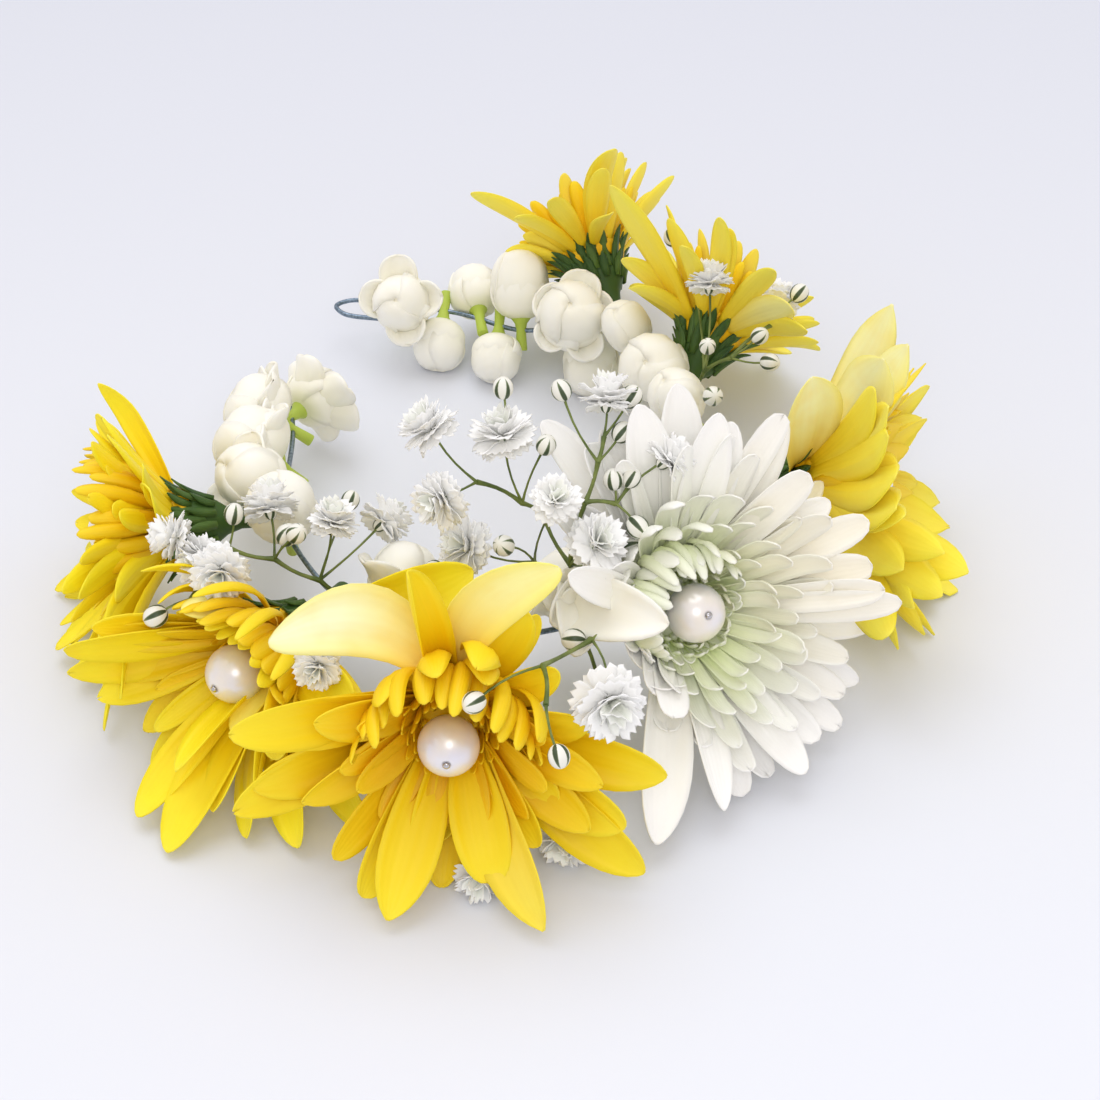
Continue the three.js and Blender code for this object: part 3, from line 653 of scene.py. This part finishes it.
def add_dome(bm, pick):
    """The low dome in a head's middle, and the tiny knobs of its unopened florets."""
    dome_radius, dome_rise, knob_radius, knob_count, golden_angle = 5.4, 3.6, 0.46, 64, 2.39996
    place = Matrix.Translation((0, 0, 1.4)) @ Matrix.Diagonal((1, 1, dome_rise / dome_radius, 1))
    made = bmesh.ops.create_uvsphere(
        bm, u_segments=24, v_segments=12, radius=dome_radius, matrix=place, calc_uvs=True
    )["verts"]
    for knob in range(knob_count):
        out = dome_radius * (0.52 + 0.48 * sqrt((knob + 0.5) / knob_count))
        high = 1.5 + dome_rise * sqrt(max(0, 1 - (out / dome_radius) ** 2)) + pick.uniform(0, 0.5)
        spot = Matrix.Translation(off_axis(knob * golden_angle, out, high))
        spot = spot @ Matrix.Diagonal((1, 1, 1.5, 1))
        made += bmesh.ops.create_uvsphere(
            bm, u_segments=8, v_segments=5, radius=knob_radius * pick.uniform(0.85, 1.15), matrix=spot,
            calc_uvs=True,
        )["verts"]
    for vert in made:
        tint(bm, vert, 0.0, 1.0, 0.0)


def add_heads_petals(number):
    """All the petals of one head, the outer ones and the inner ones as two pieces."""
    head = heads[number]
    white = number == white_head
    whorls = [dict(zip(whorl_columns, row)) for row in (white_whorls if white else yellow_whorls)]
    pick = random.Random(100 + number)
    outer, inner = petal_mesh(), petal_mesh()
    to_eye = head_place(number).to_3x3().normalized().transposed() @ (view_back + Vector((0, 0, 0.6)))
    leading = []
    for angle, lean, length, width, *more in leading_petals[number]:
        looks = dict(more[0]) if more else {}
        angle, lean = radians(angle), radians(lean)
        leading.append(angle)
        tip = petal_root(angle, 0.93, 0.45) + chord(angle, lean)[0] * length
        foot = radians(looks.pop("root")) if "root" in looks else angle
        root = petal_root(foot, 0.93, looks.pop("up", 0.45))
        ahead = (tip - root).normalized()
        back = chord((angle + foot) / 2, lean)[1]
        back = (back - ahead * back.dot(ahead)).normalized()
        flat = to_eye - ahead * to_eye.dot(ahead)
        flat = flat.normalized() * (1 if flat.dot(back) > 0 else -1)
        back = back.lerp(flat, looks.pop("face", head["face"])).normalized()
        back = Matrix.Rotation(looks.pop("roll", pick.uniform(-0.25, 0.25)), 3, ahead) @ back
        # Every leading petal takes the head's painted golden shade and its painted lemon light.
        shape = dict(
            grid=(8, 12), bend=0.5, cup=pick.uniform(0.25, 0.5), claw=pick.uniform(0.34, 0.44),
            blunt=pick.uniform(0.45, 0.65) * head["sharp"], wave=pick.uniform(0, 0.015),
            tone=pick.uniform(-0.7, 0.5), heart=head["gold"], pale=head["lemon"],
        )
        add_petal(outer, root, ahead, back, (tip - root).length, width, **{**shape, **looks})
    for order, whorl in enumerate(whorls):
        opens = how_open(number, whorl)
        count = round(whorl["count"] * head["more"])
        for leaf in range(count):
            angle = tau * (leaf + 0.5 * (order % 2) + pick.uniform(-0.22, 0.22)) / count
            press = opens[round(angle / tau * fit_turns) % fit_turns]
            start, end = petal_line(whorl, head, press)
            folded = max(0, cos(angle - radians(head["curl"]))) ** 1.3
            fold = radians(white_folds.get(order, 0) * white) * folded * press
            start, end = start + fold / 2, end - fold
            length = floret_length * whorl["length"] * head["size"] * pick.uniform(0.86, 1.04)
            middle, share = head["short"]
            length *= head["long"] * (1 - (1 - share) * max(0, cos(angle - radians(middle))))
            width = floret_width * whorl["width"] * head["size"] * head["slim"] * pick.uniform(0.8, 1.05)
            turned = [abs(remainder(angle - other, tau)) for other in leading]
            above = sin(angle) > 0.5 and head["awning"] > 0 and order < 4
            roll = Matrix.Rotation(pick.uniform(-0.35, 0.35), 3, chord(angle, (start + end) / 2)[0])
            # Each petal takes the head's painted golden shade on top of its heart's share, and its painted
            # lemon light.
            looks = dict(
                cup=pick.uniform(0.4, 0.8) if white else pick.uniform(0.25, 0.6),
                claw=pick.uniform(0.36, 0.5),
                blunt=pick.uniform(0.28, 0.42) if white else pick.uniform(0.45, 0.7) * head["sharp"],
                notch=pick.choice((0, 0, 0.02, 0.035)), hook=pick.uniform(-0.04, 0.03),
                twist=pick.uniform(-0.35, 0.35), sweep=pick.uniform(-0.05, 0.05),
                wave=pick.uniform(0, 0.02), tone=pick.uniform(-1, 1),
                heart=min(1, whorl["heart"] + head["gold"]), pale=head["lemon"],
            )
            crowded = leading_reach * (0.4 if white else 1)
            if order <= 1 and min(turned) < crowded or above and order in (0, 3):
                continue
            if above:
                start, end = radians(90 - 2 * order), radians(16 - 12 * order)
                length = (22 - 1.5 * order) * pick.uniform(0.9, 1.05)
                width *= 0.85 * head["awning"]
                looks["twist"], looks["cup"] = 0.3 * looks["twist"], 0.5
            if white:
                looks["claw"], looks["peak"] = 0.5, 0.74
                looks["cup"] *= 0.4 + 0.6 * press
                # Painted reflected light: a warm cream tint on one side of the white head.
                looks["pale"] = 0.7 * max(0, cos(angle - 0.1)) ** 3
                looks["hook"] -= 0.05 * min(order, 3)
            ahead, back = chord(angle, (start + end) / 2 + radians(pick.uniform(-5, 4)))
            root = petal_root(angle, whorl["out"], whorl["up"])
            late = whorl["heart"] >= 0.5
            bend = min(end - start, -0.1) if end < start else max(end - start, 0.12)
            grid = (3, 5) if whorl["length"] < 0.3 else (4, 8) if late else (6, 10)
            add_petal(
                inner if late else outer, root, ahead, roll @ back, length, width, bend, grid=grid, **looks
            )
    add_collar(inner, head, white_collar if white else yellow_collar, pick)
    add_dome(inner, pick)
    for part, which in ((outer, "outer"), (inner, "inner")):
        name = f"mum_{number}_{which}_petals"
        petals = finish_petals(part, head_place(number), name, white_petal if white else yellow_petal)
        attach(petals, "garland")
        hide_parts(f"mum_{number}_{which}_florets")


def turned(outline, place, steps=20):
    """A round mesh, spun about the Z axis from an outline of radius and height points."""
    bm = bmesh.new()
    verts = [bm.verts.new((radius, 0, height)) for radius, height in outline]
    edges = [bm.edges.new(pair) for pair in zip(verts, verts[1:])]
    bmesh.ops.spin(
        bm, geom=verts + edges, cent=(0, 0, 0), axis=(0, 0, 1), angle=tau, steps=steps, use_merge=True
    )
    bmesh.ops.remove_doubles(bm, verts=bm.verts, dist=1e-4)
    bmesh.ops.recalc_face_normals(bm, faces=bm.faces)
    bm.transform(place)
    return bm


# The rings of bracts: how many, how high up the cup, their lean from the axis and their length.
bract_rings = [(12, -4.4, 30, 5.0), (13, -2.8, 26, 6.0), (14, -1.0, 40, 5.4)]


def add_calyx(number):
    """The green cup and stem behind a head, with rings of small narrow bracts."""
    to_wire = calyx_depth * (1 + heads[number]["stem"])
    pick = random.Random(200 + number)
    foot = -to_wire - stem_end
    outline = [
        (0, foot), (stem_radius * 0.9, foot), (stem_radius, foot + 0.3),
        (stem_radius * 0.9, -calyx_depth - 2), (stem_radius * 1.3, -calyx_depth),
        (calyx_radius * 0.75, -calyx_depth * 0.7), (calyx_radius, -calyx_depth * 0.25),
        (calyx_radius * 0.95, hub_depth * 0.5), (calyx_radius * 0.7, hub_depth), (0, hub_depth + 0.5),
    ]
    cup = show(turned(outline, head_place(number)), f"mum_{number}_cup", calyx_green)
    bracts = petal_mesh()
    for ring, (count, rise, lean, length) in enumerate(bract_rings):
        for leaf in range(count):
            angle = tau * (leaf + 0.5 * ring + pick.uniform(-0.2, 0.2)) / count
            ahead, back = chord(angle, radians(lean + pick.uniform(-6, 10)))
            root = off_axis(angle, calyx_radius * (0.8 + 0.1 * ring), rise)
            add_petal(
                bracts, root, ahead, back, length * pick.uniform(0.8, 1.1), 1.5, 0.35, grid=(2, 5), cup=0.5,
                claw=0.7, peak=0.4, blunt=1.0, tone=pick.uniform(-1, 1), heart=pick.random(),
            )
    leaves = finish_petals(bracts, head_place(number), f"mum_{number}_bracts", calyx_green, 0.22)
    for piece in (cup, leaves):
        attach(piece, "garland")
    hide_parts(f"mum_{number}_calyx")


for number in heads:
    add_heads_petals(number)
    add_calyx(number)

# Pearls. Each is an 8 mm drilled bead, pushed down into the heart of its head on a steel pin, so
# that only the pin's tiny head shows. The bead and the pin pull out together.
pearl_radius = 4.0
drill_radius = 0.45
pin_radius = 0.4
pin_head_radius = 0.47
pin_length = 7.5

# Nacre: warm creamy white, with a soft shine under a clear skin and faint pink and blue over it.
creams = [(0.35, "#F3ECDF"), (0.5, "#F0EBEA"), (0.65, "#E8E8F6")]
nacre = mottled_material("pearl_nacre", 5, 1.0, creams, {
    "Roughness": 0.3, "Metallic": 0.25, "Coat Weight": 0.6, "Coat Roughness": 0.15,
    "Subsurface Weight": 0.15, "Subsurface Radius": (1.0, 0.8, 0.7), "Subsurface Scale": 1.0 * MM,
})

# Nickelled steel, bright and hard.
nickels = [(0.3, "#B4B1B6"), (0.7, "#D3D1D6")]
nickel_looks = {"Metallic": 1.0, "Roughness": 0.22}
bright_pin = mottled_material("nickelled_steel_pin", 0.15, 2.0, nickels, nickel_looks)

bead_steps = 28
lowest = asin(drill_radius / pearl_radius)
bead_angles = [pi - lowest - (pi - 2 * lowest) * step / bead_steps for step in range(bead_steps + 1)]
bead_outline = [(pearl_radius * sin(angle), pearl_seat + pearl_radius * cos(angle)) for angle in bead_angles]
bead_outline += [(drill_radius, pearl_seat + share * pearl_radius) for share in (0.5, -0.5)]
bead_outline.append(bead_outline[0])
top = pearl_seat + pearl_radius
point = top - pin_length - 2 * pearl_radius
pin_outline = [
    (0, point), (pin_radius, point + 2 * pin_radius), (pin_radius, top - 0.05),
    (pin_head_radius, top - 0.02), (pin_head_radius, top + 0.15), (pin_head_radius * 0.6, top + 0.3),
    (0, top + 0.36),
]
for number in heads:
    place = head_place(number)
    pearl = show(turned(bead_outline, place, 48), f"pearl_{number}_bead", nacre)
    pin = show(turned(pin_outline, place, 16), f"pearl_{number}_pin", bright_pin)
    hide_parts(f"pearl_{number}")
    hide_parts(f"pearl_pin_{number}")
    for piece in (pearl, pin):
        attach(piece, f"pearl_on_pin_{number}")

# Jasmine. Each bud is a tight ball of thick waxy petals that overlap like a rosebud's, on a lime-green
# stalk that the wire passes through. On some the outer petals have opened.
bud_width = 9.0
bud_length = 10.0
neck_length = 1.9
stalk_radius = 0.95
stalk_length = 3.4
open_length = 6.4
open_width = 6.4
# Each bud: its place on the wire, the azimuth and rise that it points to, its width and length as
# shares of the usual ones, and how many of its petals have opened.
bud_rows = {
    "left": [
        (0.84, 172, 34, 1.05, 0.9, 8), (0.33, 55, 0, 0.89, 0.85, 6), (2.26, 160, 35, 1.11, 1.0, 6),
        (2.98, 212, 45, 1.0, 1.0, 3), (4.3, 240, 80, 1.03, 0.95, 0),
    ],
    "middle": [
        (5.45, 62, 42, 0.93, 0.95, 2), (6.75, 140, 35, 0.93, 0.9, 5),
    ],
    "right": [
        (9.45, 200, 60, 0.89, 0.9, 0), (10.35, 250, 45, 1.11, 1.1, 0), (10.72, 210, 60, 0.78, 0.9, 0),
        (11.6, 260, -47, 0.93, 0.96, 0), (12.0, 265, 52, 1.04, 1.14, 5), (13.37, 265, -32, 0.84, 0.8, 0),
        (12.98, 92, 50, 1.0, 1.15, 0), (13.71, 100, 12, 0.89, 0.9, 0), (14.3, 262, -32, 0.89, 0.86, 0),
        (14.85, 260, 40, 0.89, 0.9, 4),
    ],
}
buds = {
    f"jasmine_{side}_{count}": row for side, rows in bud_rows.items() for count, row in enumerate(rows, 1)
}
# The large white petals that stand out from one bud: azimuth, rise, length and width.
wings = [
    (-60, 32, 30.5, 8.8), (-93, 20, 22, 7), (-108, 30, 18, 7.5), (-107, 44, 16, 6.4),
    (-135, 47, 14, 7), (166, 28, 9, 6.5),
]
winged_bud = "jasmine_middle_2"
plain_tail_end = 3.6
hook_tail_start = 12.5

# Jasmine petal: thick, smooth, waxy and creamy white, a little yellower at its foot.
jasmine_petal = petal_material(
    "waxy_jasmine_petal",
    [(0, "#EDECC0"), (0.25, "#FBF8E8"), (0.8, "#FEFDF7"), (1, "#FDFAEE")],
    [(0, "#ECE8B4"), (0.5, "#F8F4DA"), (1, "#F6ECC6")],
    painted_light_colour="#F7EFC2", deeper="#F4EEDC", glow=0.1, glow_colour=(1.0, 0.9, 0.7), vein=0.0, rough=0.42,
)
# Young stalk: juicy lime green, paler where it was cut.
lime_stalk = petal_material(
    "lime_green_stalk",
    [(0, "#B9CC55"), (0.5, "#9DB636"), (1, "#A9BE48")],
    [(0, "#C9D67A"), (1, "#9DB636")],
    painted_light_colour="#D9E2A4", deeper="#7E9A28", glow=0.15, glow_colour=(0.7, 1.0, 0.3), vein=0.5,
)


def pointing(azimuth, rise):
    """The direction with an azimuth and a rise above the table in degrees."""
    return off_axis(radians(azimuth), cos(radians(rise)), sin(radians(rise)))


def add_wrap(bm, width, length, angle, reach, turn, lift, tone, heart, grid=(10, 12)):
    """A petal wrapped round a bud: a patch of the egg that spirals up it, with one edge lifted."""
    made = bmesh.ops.create_grid(bm, x_segments=grid[0], y_segments=grid[1], size=1, calc_uvs=True)["verts"]
    for vert in made:
        across, share = vert.co.x, (vert.co.y + 1) / 2
        polar = pi * (0.97 - (0.955 if lift else 0.97) * share)
        narrow = 1 - 0.45 * share**4 if lift else 1.0
        around = angle + across * reach * narrow + turn * share
        edge = lift * (0.5 + 0.5 * across) * sin(polar) ** 0.6
        out = width / 2 * sin(polar) ** 0.86 + edge
        height = length / 2 * (1 + cos(polar)) + 0.3 * edge
        vert.co = off_axis(around, out, neck_length + height)
        tint(bm, vert, tone, heart, 0.0)


def add_bud(name, seed):
    """One bud with its wrapped petals, its opened petals and its stalk."""
    pick = random.Random(300 + seed)
    at, azimuth, rise, wide, long, petal_count = buds[name]
    width, length = bud_width * wide, bud_length * long
    place = stand(pointing(azimuth, rise), wire_point(at))
    bm = petal_mesh()
    opened = petal_count > 3
    start = pick.uniform(0, tau)
    add_wrap(bm, width * 0.88, length * 0.97, start, pi, 0, 0, 0.0, 0.3)
    for wrap in range(3):
        angle = start + tau * wrap / 3
        tight = 0.95 - 0.06 * opened
        lift = (0.07 + 0.07 * opened) * width
        tone = pick.uniform(-0.6, 0.3)
        add_wrap(bm, width * tight, length * 0.99, angle, 0.44 * tau, 1.4, lift, tone, 0.1)
    for wrap in range(2 + 2 * opened):
        angle = start + 0.9 + tau * wrap / (2 + 2 * opened)
        shorter = 0.8 - 0.12 * pick.random()
        lift = (0.05 + 0.08 * opened) * width
        add_wrap(bm, width, length * shorter, angle, 0.26 * tau, 0.9, lift, pick.uniform(-0.6, 0.3), 0.0)
    foot = neck_length + 0.14 * length
    for leaf in range(petal_count):
        angle = start + tau * (leaf + pick.uniform(-0.15, 0.15)) / petal_count
        ahead, back = chord(angle, radians(pick.uniform(40, 66)))
        root = off_axis(angle, 0.28 * width, foot)
        add_petal(
            bm, root, ahead, back, open_length * pick.uniform(0.9, 1.15), open_width * pick.uniform(0.9, 1.1),
            pick.uniform(0.5, 1.1), grid=(8, 9), cup=0.7, claw=0.6, peak=0.6, blunt=0.42, wave=0.03,
            tone=pick.uniform(-0.6, 0.4), heart=0.0,
        )
    inward = place.to_3x3().normalized().transposed()
    for azimuth, rise, long, wide in wings if name == winged_bud else ():
        ahead = pointing(azimuth, rise)
        flat = (view_back - ahead * view_back.dot(ahead)).normalized()
        add_petal(
            bm, Vector((0, 0, foot)), inward @ ahead, inward @ -flat, long, wide, 1.9, grid=(8, 12), cup=0.5,
            claw=0.55, peak=0.6, blunt=0.6, wave=0.02, tone=pick.uniform(-0.6, 0.4),
        )
    petals = finish_petals(bm, place, f"{name}_petals", jasmine_petal, 0.4)
    outline = [
        (0, -stalk_length), (stalk_radius * 0.9, -stalk_length), (stalk_radius, -stalk_length + 0.2),
        (stalk_radius * 0.85, 0), (stalk_radius * 1.1, neck_length * 0.6),
        (0.22 * width, neck_length + 0.04 * length), (0.34 * width, neck_length + 0.13 * length),
        (0.2 * width, neck_length + 0.2 * length), (0, neck_length + 0.2 * length),
    ]
    stalk = show(turned(outline, place, 16), f"{name}_stalk", lime_stalk)
    body = "plain_tail" if at < plain_tail_end else "hook_tail" if at > hook_tail_start else "garland"
    for piece in (petals, stalk):
        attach(piece, body)
    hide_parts(name)


for seed, name in enumerate(buds):
    add_bud(name, seed)

# Baby's breath. Thin olive stems fork from one cut end. Each twig ends in a ruffled double bloom
# of small toothed petals, or in a round white bud that five dark green stripes run up.
sprig_height = 40.0
main_stem = 0.3
thin_stem = 0.17
bloom_radius = 4.2
sprig_bud_radius = 1.45
bloom_cup_radius = 0.95
bloom_cup_drop = 0.7
bloom_rise = 0.8
sprig_aside = 1.2
twig_radius_shares = (1.4, 1, 0.9, 0.9, 1, 1.3)
# A twig is a fork, a bloom or a bud, on the end of an earlier twig or on the sprig's foot (-1). Its
# own end comes next, from the foot, as shares of the sprig's height.
sprigs = {
    "babys_breath_middle": dict(at=6.6, beside=(0, 0.6, 1.6), twigs=[
        ("fork", -1, 0.0, -0.08, 0.3), ("fork", 0, 0.05, -0.04, 0.54), ("fork", 1, 0.09, 0.02, 0.66),
        ("fork", 2, 0.11, 0.09, 0.71), ("bloom", 3, 0.12, 0.17, 0.8), ("bud", 3, 0.2, 0.2, 0.79),
        ("bud", 2, 0.17, 0.1, 0.72), ("bud", 2, -0.03, 0.12, 0.88), ("fork", 1, 0.15, -0.05, 0.54),
        ("bloom", 8, 0.32, 0.06, 0.64), ("bud", 8, 0.14, -0.02, 0.62), ("bud", 8, 0.2, 0.0, 0.61),
        ("bud", 8, 0.22, -0.12, 0.5), ("fork", 0, -0.09, 0.07, 0.39), ("fork", 13, -0.16, 0.07, 0.44),
        ("bloom", 14, -0.22, 0.12, 0.69), ("bud", 14, -0.08, 0.06, 0.7), ("bud", 15, -0.22, 0.17, 0.85),
        ("fork", 14, -0.31, 0.05, 0.55), ("bloom", 18, -0.46, 0.12, 0.72),
        ("bloom", 18, -0.42, -0.06, 0.57), ("fork", -1, -0.12, 0.04, 0.2),
        ("bloom", 21, -0.05, -0.12, 0.61), ("bloom", 21, -0.34, -0.04, 0.34), ("bud", 21, -0.22, -0.1, 0.4),
        ("bloom", 0, 0.08, -0.15, 0.45), ("bud", 0, 0.2, -0.05, 0.35), ("fork", -1, 0.07, -0.38, 0.24),
        ("wide_bloom", 27, 0.12, -0.74, 0.32), ("bud", 27, 0.01, -0.37, 0.23),
        ("fork", 27, -0.09, -0.66, 0.4), ("bud", 30, -0.3, -0.83, 0.41), ("fork", 30, -0.08, -0.87, 0.44),
        ("bud", 32, -0.04, -0.98, 0.33), ("bud", 27, 0.21, -0.23, 0.23), ("bud", 23, -0.46, -0.03, 0.23),
        ("bud", 0, 0.11, 0.12, 0.13), ("fork", -1, 0.11, -0.14, -0.24), ("bloom", 37, -0.28, -0.9, -0.31),
        ("bloom", 37, -0.02, -0.76, -0.3),
    ]),
    "babys_breath_left": dict(at=5.25, beside=(0, 0.35, 0.95), twigs=[
        ("fork", -1, -0.14, -0.02, 0.13), ("fork", 0, -0.29, 0, 0.21), ("fork", 1, -0.44, 0, 0.26),
        ("bloom", 2, -0.62, 0.02, 0.29), ("bud", 2, -0.42, 0.06, 0.36), ("bloom", 1, -0.31, 0.14, 0.32),
        ("bud", 1, -0.2, -0.04, 0.36), ("bloom", 0, -0.09, 0.06, 0.32), ("bud", 0, -0.04, 0.2, 0.3),
        ("bloom", 2, -0.51, -0.06, 0.26), ("bloom", 2, -0.45, -0.14, 0.28), ("fork", 2, -0.55, -0.2, 0.21),
        ("bud", 11, -0.67, -0.23, 0.16), ("bloom", 0, 0.07, 0.19, 0.21), ("bud", 1, -0.24, 0.01, 0.31),
        ("fork", -1, -0.04, -0.2, 0.16), ("bloom", 15, -0.1, -0.51, 0.21),
    ]),
    "babys_breath_right": dict(at=9.85, beside=(0.55, 0, 0.85), twigs=[
        ("fork", -1, 0.06, -0.02, 0.16), ("bloom", 0, 0.08, 0.2, 0.42), ("fork", 0, 0.16, -0.04, 0.24),
        ("bud", 0, 0.06, -0.1, 0.34), ("bud", 2, 0.26, -0.06, 0.36), ("bud", 2, 0.3, -0.12, 0.28),
        ("fork", 2, 0.33, 0.1, 0.3), ("bud", 6, 0.43, 0.19, 0.38), ("bloom", 6, 0.35, 0.24, 0.3),
        ("bud", -1, 0.07, -0.33, 0.28), ("bud", 0, -0.04, 0.65, 0.33),
    ]),
}

# Papery white petal, thin and bright.
gypsophila_petal = petal_material(
    "papery_white_petal",
    [(0, "#E8F0D0"), (0.15, "#FDFDFB"), (1, "#FFFFFF")],
    [(0, "#C6D29A"), (1, "#F4F6EC")],
    painted_light_colour="#FFFFFF", deeper="#FAFAFB", glow=0.0, glow_colour=(1.0, 1.0, 1.0), vein=0.0, rough=0.7,
)
# Wiry stem, olive green, browner at its joints.
olives = [(0.35, "#4F6226"), (0.65, "#7F8C46")]
olive_stem = mottled_material("wiry_olive_stem", 3, 2.0, olives, {"Roughness": 0.5})
# Round bud: silvery white, with five dark green stripes from its foot that narrow towards its tip.
striped_bud, shader, add = new_material("striped_bud_skin")
spread = add("SeparateXYZ", {0: add("UVMap").outputs["UV"]})
stripe = add("Math", {0: spread.outputs["X"], 1: 5 * tau}, operation="MULTIPLY")
stripe = add("Math", {0: stripe.outputs[0]}, operation="COSINE").outputs[0]
share = add("Math", {0: spread.outputs["Y"], 1: -1.5, 2: 0.72}, operation="MULTIPLY_ADD")
share = add("Math", {0: stripe, 1: share.outputs[0]}, operation="ADD").outputs[0]
skins = [(0.3, "#EFEEE6"), (0.5, "#6B7A52"), (0.8, "#3A4A2E")]
colour = add("ValToRGB", {0: share}, skins)
give(striped_bud, shader, {"Base Color": colour.outputs["Color"], "Roughness": 0.4})


def add_bloom(bm, centre, ahead, radius, pick):
    """A double bloom: rings of small toothed petals, spread from its foot into a ruffled ball."""
    side = ahead.orthogonal().normalized()
    other = ahead.cross(side)
    rings = [(8, 108, 0.8), (8, 84, 0.93), (8, 60, 1.0), (6, 36, 1.06), (4, 14, 1.06)]
    for ring, (count, lean, reach) in enumerate(rings):
        for leaf in range(count):
            angle = tau * (leaf + 0.5 * ring + pick.uniform(-0.3, 0.3)) / count
            slope = radians(lean + pick.uniform(-9, 9))
            outward = side * cos(angle) + other * sin(angle)
            along = outward * sin(slope) + ahead * cos(slope)
            back = outward * cos(slope) - ahead * sin(slope)
            add_petal(
                bm, centre - ahead * radius * 0.3, along, back, radius * reach * pick.uniform(0.9, 1.12),
                0.74 * radius, 0.5, grid=(6, 4), cup=0.15, claw=0.2, peak=0.95, blunt=0, wave=0.05, teeth=3,
                twist=pick.uniform(-0.3, 0.3), tone=pick.uniform(-1, 1), heart=0.3 * (ring == 4),
            )


def add_round_bud(bm, centre, ahead, radius):
    """A round bud, standing on its twig, with its stripes running up it."""
    turn = ahead.to_track_quat("Z", "Y").to_matrix().to_4x4()
    place = Matrix.Translation(centre) @ turn @ Matrix.Scale(1.12, 4, (0, 0, 1))
    bmesh.ops.create_uvsphere(bm, u_segments=14, v_segments=10, radius=radius, matrix=place, calc_uvs=True)


def add_sprig(name, sprig, seed):
    """One sprig: its stems, its blooms and its round buds, as three pieces."""
    pick = random.Random(400 + seed)
    foot = wire_point(sprig["at"]) + Vector(sprig["beside"]) * sprig_aside
    ends = [foot + Vector(twig[2:]) * sprig_height for twig in sprig["twigs"]]
    stems = bmesh.new()
    blooms = petal_mesh()
    balls = bmesh.new()
    balls.loops.layers.uv.new("UVMap")
    for (kind, parent, *_), end in zip(sprig["twigs"], ends):
        start = foot if parent < 0 else ends[parent]
        ahead = (end - start).normalized()
        bow = ahead.orthogonal().normalized() * (end - start).length * 0.06 * pick.choice((-1, 1))
        line = [start.lerp(end, step / 5) + bow * sin(pi * step / 5) for step in range(6)]
        thick = main_stem if kind == "fork" else thin_stem
        add_bar(stems, line, [thick * share for share in twig_radius_shares])
        size = pick.uniform(0.85, 1.08)
        if "bloom" in kind:
            radius = bloom_radius * (1.25 if kind == "wide_bloom" else size)
            add_round_bud(balls, end - ahead * bloom_cup_drop, ahead, bloom_cup_radius)
            add_bloom(blooms, end + ahead * bloom_rise, ahead, radius, pick)
        if kind == "bud":
            add_round_bud(balls, end, ahead, sprig_bud_radius * size)
    stem_piece = show(stems, f"{name}_stems", olive_stem)
    bloom_piece = finish_petals(blooms, Matrix.Scale(MM, 4), f"{name}_blooms", gypsophila_petal, 0.1)
    balls.transform(Matrix.Scale(MM, 4))
    bud_piece = show(balls, f"{name}_buds", striped_bud)
    for piece in (stem_piece, bloom_piece, bud_piece):
        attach(piece, "garland")
    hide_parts(name)


for seed, (name, sprig) in enumerate(sprigs.items()):
    add_sprig(name, sprig, seed)
